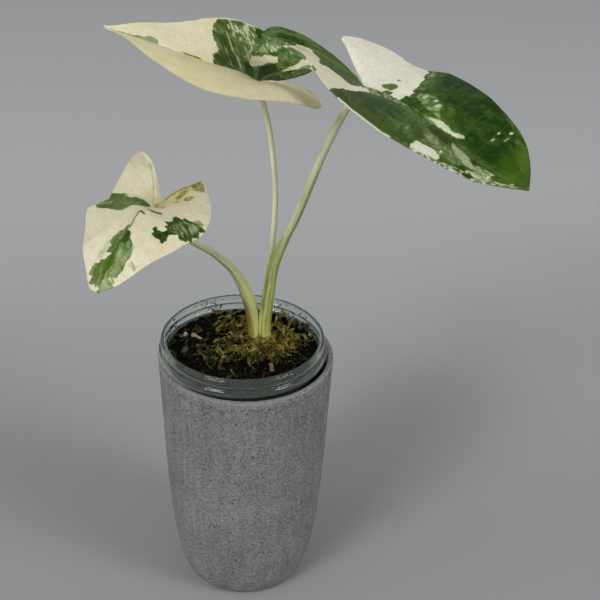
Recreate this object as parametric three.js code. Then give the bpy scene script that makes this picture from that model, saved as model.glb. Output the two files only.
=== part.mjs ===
// A young variegated giant taro, planted in a clear cup that hangs by its rim in a rough grey cover pot.
// Millimetres, +Z up. The origin is the centre of the pot's foot, and -Y is the front.
import * as THREE from 'three';

// Gap between pieces that touch.
const CLEARANCE = 0.3;

// Cover pot.
const POT_HEIGHT = 137.6;
const POT_RIM_RADIUS = 45;
const POT_FOOT_RADIUS = 28.6;
const POT_WALL = 3;
const POT_FLOOR = 8;
const POT_EDGE_ROUND = 1.1;
// The straight wall aims at this radius at floor level, and bends away from it below the shoulder.
const POT_TAPER_RADIUS = 39;
const POT_SHOULDER_HEIGHT = 73.9;
const POT_BEND_PULL = 0.62;

// Clear cup. It sits off the pot's centre, so that its ledge misses the rim at the front right.
const CUP_OFFSET_X = -1.6;
const CUP_OFFSET_Y = 0.6;
const CUP_FLOOR_HEIGHT = 24;
const CUP_FOOT_RADIUS = 30;
const CUP_MOUTH_RADIUS = 39.6;
const CUP_WALL = 1;
const CUP_LEDGE_HEIGHT = POT_HEIGHT + CLEARANCE;
const CUP_LOWER_BAND_RADIUS = 43.2;
const CUP_UPPER_BAND_RADIUS = 42;
const CUP_GROOVE_RADIUS = 41.1;
const CUP_BAND_HEIGHT = 5.05;
const CUP_BAND_ROUND = 1;
const CUP_LIP_HEIGHT = CUP_LEDGE_HEIGHT + 2 * CUP_BAND_HEIGHT;

const ROUND_SEGMENTS = 48;

// Potting mix and the crown of the plant in it.
const SOIL_LEVEL = 139.6;
const SOIL_GAP = 0.4;
const SOIL_RELIEF = 1.1;
const CROWN_X = 7.6;
const CROWN_Y = 6.8;
const CROWN_HOLE_RADIUS = 8.3;
const CROWN_HOLE_FLOOR = 118;
const CORM_RADIUS = CROWN_HOLE_RADIUS - CLEARANCE;
const CORM_TOP = 138.2;
const SOIL_RINGS = 8;

// Leaf blades.
const BLADE_THICKNESS = 0.7;
const MIDRIB_DEPTH = 1.1;
const LOBE_RIB_DEPTH = 0.7;
const FRONT_RAYS = 16;
const LOBE_RAYS = 10;
const OUTER_STEPS = [0, 0.08, 0.26, 0.5, 0.75, 1];
const SINUS_STEPS = [0, 0.25, 0.6, 1];
const STALK_TO_BLADE = 3.2;

// Each blade stands on its stalk's joint and points along its heading, in degrees from +X.
// Its points are [along, across, rise] from the joint, across is positive to the left.
// A margin runs from the tip round the basal lobe to the joint. Each of its points adds where the
// side vein that ends there leaves the midrib, as a share of it (1 at the tip), or the lobe's own
// vein, as a negative share (-1 at the lobe's tip), and how far that vein arches over its chord.
const UPPER_LEAF = {
  joint: [4.5, 7, 283],
  heading: 186,
  midrib: [[0, 0, 0], [14.5, -2, 6], [30, -4.5, 11], [43.5, -7.5, 15.5], [57, -11, 19.5], [69, -14.5, 22.5]],
  left: {
    vein: [-13.5, 12.5, -1],
    margin: [
      [69, -14.5, 22.5, 1, 0], [59.5, -5.5, 20.5, 0.88, 0.03], [49, 10, 16.5, 0.68, 0.05],
      [38.5, 22, 13, 0.5, 0.06], [28.5, 32, 10.5, 0.34, 0.06], [19.5, 36, 9, 0.2, 0.06],
      [9.5, 37, 7, 0.06, 0.06], [-1.5, 36.5, 5.5, -0.12, 0.07], [-11, 33.5, 3, -0.42, 0.09],
      [-18.5, 28.5, -1, -0.72, 0.08], [-24, 24, -4.5, -0.93, 0.02], [-26.5, 20, -4, -1, 0],
      [-24.5, 15.5, -1.5, -0.84, 0.05], [-18.5, 10.5, 1, -0.55, 0.07], [-9, 5, 1.5, -0.27, 0.03],
      [0, 0, 0, 0, 0],
    ],
  },
  right: {
    vein: [-15.5, -13.5, -1.5],
    margin: [
      [69, -14.5, 22.5, 1, 0], [61.5, -16, 22.5, 0.9, 0], [52, -18.5, 22.5, 0.76, 0],
      [40.5, -23, 20.5, 0.56, 0], [28.5, -28, 19.5, 0.36, -0.02], [19, -33, 19, 0.2, -0.02],
      [8, -37, 17, 0.05, -0.02], [-0.5, -38, 13.5, -0.1, -0.02], [-10, -35, 9.5, -0.36, -0.02],
      [-20, -27, 5, -0.68, 0], [-27.5, -16, 2.5, -0.94, 0], [-28.5, -11, 1.5, -1, 0],
      [-24, -7.5, 0, -0.76, 0], [-15, -4, -1, -0.45, 0], [-7, -2, -1, -0.2, 0],
      [0, 0, 0, 0, 0],
    ],
  },
};

const RIGHT_LEAF = {
  joint: [53, 1.5, 283.5],
  heading: -34,
  midrib: [[0, 0, 0], [18, 0, -2.5], [36, -1.5, -8], [54.5, -5, -16.5], [73, -9.5, -21], [90, -11, -23]],
  left: {
    vein: [-10, 14.5, 5],
    margin: [
      [90, -11, -23, 1, 0], [84, 3, -19.5, 0.91, 0.02], [76, 13.5, -13, 0.79, 0.03],
      [64.5, 20.5, -7, 0.65, 0.03], [50, 28, -2.5, 0.48, 0.03], [34, 37, -2, 0.32, 0.03],
      [23.5, 40.5, -1.5, 0.21, 0], [14, 41.5, -3, 0.11, 0.02], [3.5, 42, -2.5, -0.04, 0.03],
      [-7.5, 42.5, 1.5, -0.3, 0.03], [-17, 37.5, 6, -0.6, 0.03], [-22, 29, 10, -0.89, 0],
      [-24.5, 21.5, 11.5, -1, 0], [-19, 17, 8.5, -0.7, 0], [-11.5, 11, 4, -0.4, 0],
      [-5, 5.5, 1, -0.18, 0], [0, 0, 0, 0, 0],
    ],
  },
  right: {
    vein: [-21, -8.5, 13],
    margin: [
      [90, -11, -23, 1, 0], [79, -18, -21.5, 0.9, 0.02], [70.5, -25.5, -18.5, 0.79, 0.03],
      [58.5, -31, -13, 0.63, 0.03], [46, -35, -7.5, 0.46, 0.03], [32.5, -38, -2, 0.29, 0.03],
      [20, -38.5, 3.5, 0.14, 0.03], [9, -36.5, 7.5, 0.01, 0.03], [0.5, -34, 11, -0.18, 0.03],
      [-10.5, -30, 17, -0.42, 0.04], [-22, -27.5, 20.5, -0.7, 0.04], [-33, -26.5, 22, -0.93, 0.02],
      [-39.5, -24.5, 23, -1, 0], [-39, -16, 24.5, -0.86, 0.05], [-31, -6, 20, -0.62, 0.05],
      [-19, 1, 11.5, -0.34, 0.05], [-6.5, 1, 4.5, -0.12, 0.03], [0, 0, 0, 0, 0],
    ],
  },
};

const LEFT_LEAF = {
  joint: [-44, -15.5, 229],
  heading: 245,
  midrib: [[0, 0, 0], [12.5, 0.5, 4.5], [28, 3, 2.5], [38.5, 3.5, -1.5], [48, 3, -8], [56.5, 3, -15]],
  left: {
    vein: [-19, 4, -4],
    margin: [
      [56.5, 3, -15, 1, 0], [52.5, 9, -13, 0.86, 0.02], [46.5, 14, -10, 0.7, 0.02],
      [37, 19, -6.5, 0.5, 0.02], [26.5, 23.5, -5.5, 0.3, 0.02], [17, 27, -4.5, 0.16, 0.02],
      [8, 29.5, -4.5, 0, 0.03], [-4.5, 27.5, -3.5, -0.26, 0.03], [-20, 20.5, -4, -0.6, 0.03],
      [-31.5, 12.5, -3, -0.88, 0.02], [-36, 8, -1, -1, 0], [-30.5, 4, -1.5, -0.74, 0],
      [-21.5, 0.5, -1.5, -0.45, 0], [-11.5, -0.5, -2, -0.22, 0], [0, 0, 0, 0, 0],
    ],
  },
  right: {
    vein: [-18, -8.5, 5],
    margin: [
      [56.5, 3, -15, 1, 0], [57.5, 0, -12.5, 0.93, 0.02], [54, -3.5, -5.5, 0.72, 0.03],
      [50.5, -6.5, 1, 0.5, 0.04], [46, -7.5, 8, 0.3, 0.05], [38.5, -10.5, 14.5, 0.1, 0.04],
      [29, -11.5, 10, 0, 0.21], [16.5, -15, 5, -0.12, 0.05], [4.5, -18.5, 5.5, -0.28, -0.03],
      [-7.5, -21, 7.5, -0.52, -0.02], [-17.5, -21, 12.5, -0.8, 0], [-24.5, -19.5, 14.5, -1, 0],
      [-25, -14.5, 12, -0.83, 0], [-22, -10, 7, -0.58, 0], [-15.5, -4.5, 1.5, -0.3, 0],
      [-8, -0.5, -0.5, -0.12, 0], [0, 0, 0, 0, 0],
    ],
  },
};

// Leaf stalks, from the crown up. The sheath is the thicker lower part, and it narrows to the
// stalk proper over the stated share of the length.
const STALK_SIDES = 12;
const STALK_RINGS = 18;
const UPPER_STALK = {
  path: [[8.3, 9.6, 139], [8.9, 9.6, 152], [10, 9.4, 170], [11.8, 9, 186.3], [13, 8.5, 199.7],
    [13.7, 8, 213.6], [13.8, 8, 227.2], [12.3, 7.5, 245], [9.7, 7.2, 263]],
  base: [1.4, 1.4],
  top: [1.35, 1.35],
  sheathEnd: 0.5,
};
const RIGHT_STALK = {
  path: [[10, 5, 139], [9.9, 5, 154.5], [11.7, 4, 173], [14.1, 3, 189.7], [18.6, 2.5, 202.4],
    [23.9, 2, 215], [29.9, 1.5, 232.4], [36.3, 1, 250.8], [45.6, 1.2, 271.8]],
  base: [2.4, 2.5],
  top: [1.35, 1.35],
  sheathEnd: 0.72,
};
const LEFT_STALK = {
  path: [[4.6, 5.6, 139], [3.5, 5, 154.5], [1.4, 2, 167.1], [-2.1, -1, 178.8], [-7, -4, 189.6],
    [-11.9, -6, 195.8], [-17.6, -8, 201.8], [-26, -10, 208.1], [-36.1, -13, 218]],
  base: [2.5, 2.6],
  top: [1.2, 1.2],
  sheathEnd: 0.6,
};

// Moss on the soil: sectors about the crown, in degrees, from an inner radius to their reach.
// Each arm adds to the reach round its own angle.
const MOSS_EDGE = 0.7;
const MOSS_LIFT = 0.8;
const FRONT_MOSS = {
  from: 172,
  to: 398,
  inner: 9.4,
  reach: 17,
  arms: [{ angle: 212, length: 17, spread: 20 }, { angle: 352, length: 6, spread: 16 }],
  depth: 3.4,
  turns: 48,
  rings: 8,
};
const BACK_MOSS = {
  from: 106,
  to: 152,
  inner: 14,
  reach: 22,
  arms: [{ angle: 132, length: 8, spread: 14 }],
  depth: 2.4,
  turns: 12,
  rings: 6,
};

const LOOKS = {
  concrete: { color: '#8f8e90', roughness: 0.95, metalness: 0 },
  clearPlastic: { color: '#c9d6ce', roughness: 0.15, metalness: 0, transparent: true, opacity: 0.35 },
  soil: { color: '#1d1812', roughness: 1, metalness: 0 },
  moss: { color: '#6f6a2a', roughness: 0.95, metalness: 0 },
  corm: { color: '#8a8358', roughness: 0.8, metalness: 0 },
  paleStalk: { color: '#b9bd8a', roughness: 0.5, metalness: 0 },
  greenStalk: { color: '#93a35c', roughness: 0.5, metalness: 0 },
  creamBlade: { color: '#d8cfae', roughness: 0.45, metalness: 0 },
  greenBlade: { color: '#2f4f1c', roughness: 0.4, metalness: 0 },
};

function namedMesh(name, geometry, look) {
  const mesh = new THREE.Mesh(geometry, new THREE.MeshStandardMaterial(look));
  mesh.name = name;
  return mesh;
}

function indexedGeometry(vertices, triangles) {
  const geometry = new THREE.BufferGeometry();
  const flat = vertices.flatMap((vertex) => vertex.toArray());
  geometry.setAttribute('position', new THREE.Float32BufferAttribute(flat, 3));
  geometry.setIndex(triangles.flat());
  geometry.computeVertexNormals();
  return geometry;
}

// Turns a profile of [radius, height] points about +Z.
function turned(profile, segments = ROUND_SEGMENTS) {
  const points = profile.map(([radius, height]) => new THREE.Vector2(radius, height));
  const geometry = new THREE.LatheGeometry(points, segments);
  geometry.rotateX(Math.PI / 2);
  return geometry;
}

// A pot wall's profile points from the foot, up the bend, to the rim.
function potWall(rimRadius, footRadius, footHeight, shoulderRadius, taperRadius) {
  const shoulder = new THREE.Vector2(shoulderRadius, POT_SHOULDER_HEIGHT);
  const foot = new THREE.Vector2(footRadius, footHeight);
  const corner = new THREE.Vector2(taperRadius, footHeight);
  const bend = new THREE.CubicBezierCurve(
    foot,
    foot.clone().lerp(corner, POT_BEND_PULL),
    shoulder.clone().lerp(corner, POT_BEND_PULL),
    shoulder,
  );
  const bendSteps = 8;
  return [...bend.getPoints(bendSteps).map((point) => point.toArray()), [rimRadius, POT_HEIGHT]];
}

function coverPot() {
  const slope = (POT_RIM_RADIUS - POT_TAPER_RADIUS) / POT_HEIGHT;
  const shoulderRadius = POT_TAPER_RADIUS + slope * POT_SHOULDER_HEIGHT;
  const outside = potWall(POT_RIM_RADIUS, POT_FOOT_RADIUS, 0, shoulderRadius, POT_TAPER_RADIUS);
  const inside = potWall(
    POT_RIM_RADIUS - POT_WALL,
    POT_FOOT_RADIUS - POT_WALL,
    POT_FLOOR,
    shoulderRadius - POT_WALL,
    POT_TAPER_RADIUS - POT_WALL,
  );
  outside.pop();
  inside.pop();
  const rim = [
    [POT_RIM_RADIUS, POT_HEIGHT - POT_EDGE_ROUND],
    [POT_RIM_RADIUS - POT_EDGE_ROUND / 3, POT_HEIGHT - POT_EDGE_ROUND / 3],
    [POT_RIM_RADIUS - POT_EDGE_ROUND, POT_HEIGHT],
    [POT_RIM_RADIUS - POT_WALL + POT_EDGE_ROUND, POT_HEIGHT],
    [POT_RIM_RADIUS - POT_WALL, POT_HEIGHT - POT_EDGE_ROUND],
  ];
  return turned([[0, 0], ...outside, ...rim, ...inside.reverse(), [0, POT_FLOOR]]);
}

// The cup's inner radius at a height.
function cupInnerRadius(height) {
  const share = (height - CUP_FLOOR_HEIGHT) / (CUP_LEDGE_HEIGHT - CUP_FLOOR_HEIGHT);
  return CUP_FOOT_RADIUS + (CUP_MOUTH_RADIUS - CUP_FOOT_RADIUS) * Math.min(share, 1) - CUP_WALL;
}

// One rounded band of the cup's rim, as profile points from its foot to its top.
function rimBand(radius, foot) {
  const top = foot + CUP_BAND_HEIGHT;
  return [
    [radius - CUP_BAND_ROUND / 3, foot + CUP_BAND_ROUND / 3],
    [radius, foot + CUP_BAND_ROUND],
    [radius, top - CUP_BAND_ROUND],
    [radius - CUP_BAND_ROUND / 3, top - CUP_BAND_ROUND / 3],
  ];
}

function clearCup() {
  const middle = CUP_LEDGE_HEIGHT + CUP_BAND_HEIGHT;
  const lipInside = CUP_MOUTH_RADIUS - CUP_WALL + 0.8;
  const profile = [
    [0, CUP_FLOOR_HEIGHT],
    [CUP_FOOT_RADIUS - CUP_BAND_ROUND, CUP_FLOOR_HEIGHT],
    [CUP_FOOT_RADIUS, CUP_FLOOR_HEIGHT + CUP_BAND_ROUND],
    [CUP_MOUTH_RADIUS, CUP_LEDGE_HEIGHT],
    [CUP_LOWER_BAND_RADIUS - CUP_BAND_ROUND, CUP_LEDGE_HEIGHT],
    ...rimBand(CUP_LOWER_BAND_RADIUS, CUP_LEDGE_HEIGHT),
    [CUP_GROOVE_RADIUS, middle],
    ...rimBand(CUP_UPPER_BAND_RADIUS, middle),
    [CUP_UPPER_BAND_RADIUS - CUP_BAND_ROUND, CUP_LIP_HEIGHT],
    [lipInside + CUP_BAND_ROUND, CUP_LIP_HEIGHT],
    [lipInside, CUP_LIP_HEIGHT - CUP_BAND_ROUND],
    [cupInnerRadius(CUP_LEDGE_HEIGHT), CUP_LEDGE_HEIGHT],
    [cupInnerRadius(CUP_FLOOR_HEIGHT), CUP_FLOOR_HEIGHT + CUP_WALL],
    [0, CUP_FLOOR_HEIGHT + CUP_WALL],
  ];
  return turned(profile);
}

// Lumps of the potting mix at a point, about -1 to 1.
function lumps(x, y) {
  const broad = Math.sin(0.21 * x + 1.3) * Math.cos(0.17 * y - 0.6);
  const fine = Math.sin(0.63 * x - 0.38 * y + 2) * Math.sin(0.29 * x + 0.71 * y);
  return 0.55 * broad + 0.45 * fine;
}

function soilHeight(x, y) {
  return SOIL_LEVEL + SOIL_RELIEF * lumps(x, y);
}

// The distance from the crown to the soil's edge at an angle and a height.
function reachFromCrown(angle, height) {
  const radius = cupInnerRadius(height) - SOIL_GAP;
  const x = CROWN_X - CUP_OFFSET_X;
  const y = CROWN_Y - CUP_OFFSET_Y;
  const along = x * Math.cos(angle) + y * Math.sin(angle);
  return Math.sqrt(radius * radius - x * x - y * y + along * along) - along;
}

function atCrown(angle, distance, height) {
  return new THREE.Vector3(
    CROWN_X + distance * Math.cos(angle),
    CROWN_Y + distance * Math.sin(angle),
    height,
  );
}

// A closed solid from rings of points round one axis, with a point at each end of it.
function ringSolid(first, rings, last) {
  const count = rings[0].length;
  const vertices = [first, ...rings.flat(), last];
  const end = vertices.length - 1;
  const at = (ring, turn) => 1 + ring * count + (turn % count);
  const triangles = [];
  for (let turn = 0; turn < count; turn += 1) {
    triangles.push([0, at(0, turn + 1), at(0, turn)]);
    for (let ring = 0; ring < rings.length - 1; ring += 1) {
      triangles.push([at(ring, turn), at(ring, turn + 1), at(ring + 1, turn + 1)]);
      triangles.push([at(ring, turn), at(ring + 1, turn + 1), at(ring + 1, turn)]);
    }
    triangles.push([at(rings.length - 1, turn), at(rings.length - 1, turn + 1), end]);
  }
  return indexedGeometry(vertices, triangles);
}

// Soil that fills the cup, with a plain hole for the crown and a lumpy top.
function pottingMix() {
  const foot = CUP_FLOOR_HEIGHT + CUP_WALL + CLEARANCE;
  const angles = Array.from({ length: ROUND_SEGMENTS }, (_, k) => (2 * Math.PI * k) / ROUND_SEGMENTS);
  const ringAt = (place) => angles.map((angle) => place(angle));
  const rings = [ringAt((angle) => atCrown(angle, reachFromCrown(angle, foot), foot))];
  for (let ring = SOIL_RINGS; ring >= 0; ring -= 1) {
    rings.push(ringAt((angle) => {
      const edge = reachFromCrown(angle, SOIL_LEVEL);
      const distance = CROWN_HOLE_RADIUS + ((edge - CROWN_HOLE_RADIUS) * ring) / SOIL_RINGS;
      const point = atCrown(angle, distance, 0);
      return point.setZ(soilHeight(point.x, point.y));
    }));
  }
  rings.push(ringAt((angle) => atCrown(angle, CROWN_HOLE_RADIUS, CROWN_HOLE_FLOOR)));
  return ringSolid(atCrown(0, 0, foot), rings, atCrown(0, 0, CROWN_HOLE_FLOOR));
}

// The short thick stem in the hole, from which the stalks grow.
function corm() {
  const foot = CROWN_HOLE_FLOOR + CLEARANCE;
  const profile = [
    [0, foot],
    [CORM_RADIUS * 0.45, foot + 0.6],
    [CORM_RADIUS * 0.85, foot + 4],
    [CORM_RADIUS, foot + 10],
    [CORM_RADIUS, CORM_TOP - 2.5],
    [CORM_RADIUS * 0.85, CORM_TOP - 0.6],
    [CORM_RADIUS * 0.6, CORM_TOP],
    [0, CORM_TOP],
  ];
  const geometry = turned(profile, 24);
  geometry.translate(CROWN_X, CROWN_Y, 0);
  return geometry;
}

// A bed of moss over a sector of the soil, with a ragged edge and a tufted top.
function mossBed({ from, to, inner, reach, arms, depth, turns, rings }) {
  const edgeAt = (degrees) => {
    const ragged = Math.sin(0.31 * degrees) * Math.cos(0.13 * degrees + 1);
    const armLength = arms.reduce((sum, arm) => (
      sum + arm.length * Math.exp(-(((degrees - arm.angle) / arm.spread) ** 2))
    ), 0);
    return reach + armLength + ragged;
  };
  const point = (turn, ring) => {
    const degrees = from + ((to - from) * turn) / turns;
    const angle = THREE.MathUtils.degToRad(degrees);
    const outer = Math.min(edgeAt(degrees), reachFromCrown(angle, SOIL_LEVEL) - 1.5);
    return atCrown(angle, inner + ((outer - inner) * ring) / rings, 0);
  };
  const surface = new Surface();
  for (let turn = 0; turn < turns; turn += 1) {
    for (let ring = 0; ring < rings; ring += 1) {
      surface.quad(
        point(turn, ring),
        point(turn, ring + 1),
        point(turn + 1, ring + 1),
        point(turn + 1, ring),
      );
    }
  }
  const rim = new Set(surface.edges().flat());
  const underside = ({ x, y }) => soilHeight(x, y) + MOSS_LIFT;
  const tuft = ({ x, y }) => (
    0.45 + 0.55 * Math.abs(Math.sin(1.05 * x + 0.4 * y) * Math.cos(0.9 * y - 0.5 * x))
  );
  const top = surface.points.map((spot, index) => {
    const thickness = rim.has(index) ? MOSS_EDGE : depth * tuft(spot);
    return spot.clone().setZ(underside(spot) + thickness);
  });
  const bottom = surface.points.map((spot) => spot.clone().setZ(underside(spot)));
  return surface.solid(top, bottom);
}

// An open sheet of triangles that share their corners, and its closed solid between two faces.
class Surface {
  constructor() {
    this.points = [];
    this.triangles = [];
    this.places = new Map();
  }

  corner(point) {
    const key = point.toArray().map((value) => Math.round(value * 500)).join();
    if (!this.places.has(key)) {
      this.places.set(key, this.points.length);
      this.points.push(point.clone());
    }
    return this.places.get(key);
  }

  triangle(a, b, c) {
    const corners = [this.corner(a), this.corner(b), this.corner(c)];
    if (new Set(corners).size === 3) {
      this.triangles.push(corners);
    }
  }

  quad(a, b, c, d) {
    this.triangle(a, b, c);
    this.triangle(a, c, d);
  }

  normals() {
    const normals = this.points.map(() => new THREE.Vector3());
    for (const [a, b, c] of this.triangles) {
      const side = this.points[b].clone().sub(this.points[a]);
      const face = side.cross(this.points[c].clone().sub(this.points[a]));
      for (const corner of [a, b, c]) {
        normals[corner].add(face);
      }
    }
    return normals.map((normal) => normal.normalize());
  }

  // Edges that only one triangle has, in that triangle's order.
  edges() {
    const open = new Map();
    for (const [a, b, c] of this.triangles) {
      for (const [start, end] of [[a, b], [b, c], [c, a]]) {
        if (!open.delete(`${end},${start}`)) {
          open.set(`${start},${end}`, [start, end]);
        }
      }
    }
    return [...open.values()];
  }

  solid(top, bottom) {
    const count = top.length;
    const triangles = this.triangles.flatMap(([a, b, c]) => [
      [a, b, c],
      [a + count, c + count, b + count],
    ]);
    for (const [start, end] of this.edges()) {
      triangles.push([start, start + count, end + count], [start, end + count, end]);
    }
    return indexedGeometry([...top, ...bottom], triangles);
  }
}

function smoothCurve(points) {
  return new THREE.CatmullRomCurve3(points, false, 'catmullrom', 0.5);
}

// Steps from one value to another, closer together at both ends.
function easedSteps(from, to, count) {
  return Array.from({ length: count + 1 }, (_, k) => {
    const share = (1 - Math.cos((Math.PI * k) / count)) / 2;
    return from + (to - from) * share;
  });
}

// One half of a blade: its margin, its lobe's vein, and the side veins between.
class BladeHalf {
  constructor(outline, place, midrib) {
    this.midrib = midrib;
    this.shares = outline.margin.map((row) => row[3]);
    this.arches = smoothCurve(outline.margin.map((row) => new THREE.Vector3(row[4], 0, 0)));
    this.margin = smoothCurve(outline.margin.map((row) => place(row)));
    this.lobe = this.shares.indexOf(-1);
    const joint = midrib.getPoint(0);
    const tip = place(outline.margin[this.lobe]);
    const pull = place(outline.vein).multiplyScalar(2).sub(joint.clone().add(tip).multiplyScalar(0.5));
    this.vein = new THREE.QuadraticBezierCurve3(joint, pull, tip);
  }

  // The margin's parameter where the side vein of a share ends, outside or in the sinus.
  marginAt(share, sinus) {
    const first = sinus ? this.lobe : 0;
    const last = sinus ? this.shares.length - 1 : this.lobe;
    for (let k = first; k < last; k += 1) {
      const part = (share - this.shares[k]) / (this.shares[k + 1] - this.shares[k]);
      if (part >= 0 && part <= 1) {
        return (k + part) / (this.shares.length - 1);
      }
    }
    throw new Error('a side vein ends outside the margin');
  }

  root(share) {
    return share >= 0 ? this.midrib.getPointAt(share) : this.vein.getPoint(-share);
  }

  // Points along one side vein, from its root to the margin.
  sideVein(share, sinus, steps) {
    const place = this.marginAt(share, sinus);
    const root = this.root(share);
    const chord = this.margin.getPoint(place).sub(root);
    const length = chord.length();
    const arch = new THREE.Vector3();
    if (length > 0) {
      arch.set(0, 0, 1).addScaledVector(chord, -chord.z / (length * length)).normalize();
      arch.multiplyScalar(4 * this.arches.getPoint(place).x * length);
    }
    return steps.map((step) => {
      const point = root.clone().addScaledVector(chord, step);
      return point.addScaledVector(arch, step * (1 - step));
    });
  }

  addTo(surface, isLeft) {
    const front = easedSteps(1, 0, FRONT_RAYS);
    const back = easedSteps(0, -1, LOBE_RAYS);
    const strips = [
      [[...front, ...back.slice(1)], false, OUTER_STEPS],
      [back.toReversed(), true, SINUS_STEPS],
    ];
    for (const [shares, sinus, steps] of strips) {
      const rows = shares.map((share) => this.sideVein(share, sinus, steps));
      for (let i = 0; i < rows.length - 1; i += 1) {
        for (let j = 0; j < steps.length - 1; j += 1) {
          const corners = [rows[i][j], rows[i + 1][j], rows[i + 1][j + 1], rows[i][j + 1]];
          surface.quad(...(isLeft ? corners.reverse() : corners));
        }
      }
    }
  }
}

// A leaf blade: two halves that meet on the midrib, with ribs on the underside.
function leafBlade(leaf) {
  const joint = new THREE.Vector3(...leaf.joint);
  const heading = THREE.MathUtils.degToRad(leaf.heading);
  const forward = new THREE.Vector3(Math.cos(heading), Math.sin(heading), 0);
  const leftward = new THREE.Vector3(-Math.sin(heading), Math.cos(heading), 0);
  const place = ([along, across, rise]) => joint.clone()
    .addScaledVector(forward, along)
    .addScaledVector(leftward, across)
    .add(new THREE.Vector3(0, 0, rise));
  const midrib = smoothCurve(leaf.midrib.map(place));
  const surface = new Surface();
  const halves = [new BladeHalf(leaf.left, place, midrib), new BladeHalf(leaf.right, place, midrib)];
  halves.forEach((half, side) => half.addTo(surface, side === 0));

  const ribDepth = new Map();
  for (const share of easedSteps(1, 0, FRONT_RAYS)) {
    ribDepth.set(surface.corner(midrib.getPointAt(share)), MIDRIB_DEPTH * Math.sqrt(1 - share));
  }
  for (const half of halves) {
    for (const share of easedSteps(0, -1, LOBE_RAYS).slice(1)) {
      ribDepth.set(surface.corner(half.root(share)), LOBE_RIB_DEPTH * Math.sqrt(1 + share));
    }
  }
  const normals = surface.normals();
  const shifted = (index, distance) => surface.points[index].clone()
    .addScaledVector(normals[index], distance);
  const top = surface.points.map((_, index) => shifted(index, BLADE_THICKNESS / 2));
  const bottom = surface.points.map((_, index) => (
    shifted(index, -BLADE_THICKNESS / 2 - (ribDepth.get(index) ?? 0))
  ));
  return surface.solid(top, bottom);
}

// A leaf stalk: rings along its path, wide at the sheath and slim above it.
function leafStalk(stalk, joint) {
  const blade = new THREE.Vector3(...joint);
  const points = stalk.path.map((row) => new THREE.Vector3(...row));
  const approach = blade.clone().sub(points.at(-1)).normalize();
  points.push(blade.clone().addScaledVector(approach, -STALK_TO_BLADE));
  const curve = smoothCurve(points);
  const rings = [];
  for (let ring = 0; ring <= STALK_RINGS; ring += 1) {
    const share = ring / STALK_RINGS;
    const centre = curve.getPointAt(share);
    const tangent = curve.getTangentAt(share);
    const across = new THREE.Vector3(0, 1, 0).cross(tangent).normalize();
    const back = tangent.clone().cross(across);
    const narrow = THREE.MathUtils.smoothstep(share, stalk.sheathEnd * 0.3, stalk.sheathEnd);
    const width = THREE.MathUtils.lerp(stalk.base[0], stalk.top[0], narrow);
    const depth = THREE.MathUtils.lerp(stalk.base[1], stalk.top[1], narrow);
    rings.push(Array.from({ length: STALK_SIDES }, (_, k) => {
      const angle = (2 * Math.PI * k) / STALK_SIDES;
      const point = centre.clone().addScaledVector(across, width * Math.cos(angle));
      point.addScaledVector(back, depth * Math.sin(angle));
      return ring === 0 ? point.setZ(points[0].z) : point;
    }));
  }
  return ringSolid(curve.getPoint(0), rings, curve.getPoint(1));
}

const plant = new THREE.Group();
plant.add(namedMesh('cover_pot', coverPot(), LOOKS.concrete));

const cup = namedMesh('clear_cup', clearCup(), LOOKS.clearPlastic);
cup.position.set(CUP_OFFSET_X, CUP_OFFSET_Y, 0);
plant.add(cup);

plant.add(namedMesh('potting_mix', pottingMix(), LOOKS.soil));
plant.add(namedMesh('corm', corm(), LOOKS.corm));
plant.add(namedMesh('front_moss', mossBed(FRONT_MOSS), LOOKS.moss));
plant.add(namedMesh('back_moss', mossBed(BACK_MOSS), LOOKS.moss));

const leaves = [
  ['upper', UPPER_LEAF, UPPER_STALK, LOOKS.creamBlade, LOOKS.paleStalk],
  ['right', RIGHT_LEAF, RIGHT_STALK, LOOKS.greenBlade, LOOKS.greenStalk],
  ['left', LEFT_LEAF, LEFT_STALK, LOOKS.creamBlade, LOOKS.greenStalk],
];
for (const [name, leaf, stalk, bladeLook, stalkLook] of leaves) {
  plant.add(namedMesh(`${name}_leaf_stalk`, leafStalk(stalk, leaf.joint), stalkLook));
  plant.add(namedMesh(`${name}_leaf_blade`, leafBlade(leaf), bladeLook));
}

export default plant;
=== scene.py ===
"""Looks for a young variegated giant taro, growing in a clear cup that hangs in a rough grey cover pot.

Metres, +Z up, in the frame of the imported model: the origin is the centre of the pot's foot, -Y the front.
"""

import logging
import math
from collections.abc import Callable, Iterable, Sequence
from dataclasses import dataclass, field
from enum import Enum

import bpy
import numpy as np
from mathutils import Matrix, Vector


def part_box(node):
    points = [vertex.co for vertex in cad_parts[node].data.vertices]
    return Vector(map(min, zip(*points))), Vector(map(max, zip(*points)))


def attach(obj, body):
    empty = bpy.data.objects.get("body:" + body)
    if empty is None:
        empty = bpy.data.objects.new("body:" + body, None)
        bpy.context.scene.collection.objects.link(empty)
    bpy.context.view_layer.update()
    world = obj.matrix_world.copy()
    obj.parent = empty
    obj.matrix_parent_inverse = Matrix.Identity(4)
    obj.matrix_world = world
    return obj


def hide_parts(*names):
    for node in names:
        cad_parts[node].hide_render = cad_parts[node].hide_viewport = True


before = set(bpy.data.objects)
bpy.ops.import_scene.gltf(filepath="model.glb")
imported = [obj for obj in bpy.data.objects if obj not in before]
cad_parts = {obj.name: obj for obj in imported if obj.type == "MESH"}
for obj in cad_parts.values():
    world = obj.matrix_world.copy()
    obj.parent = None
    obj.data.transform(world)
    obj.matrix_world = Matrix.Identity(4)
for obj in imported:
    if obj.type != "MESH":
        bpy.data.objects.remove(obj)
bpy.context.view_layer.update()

LOG = logging.getLogger("taro")
MM = 0.001
BODY = "root"
SEED = 20
TURN = 2 * math.pi
UP = np.array([0.0, 0.0, 1.0])

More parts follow.
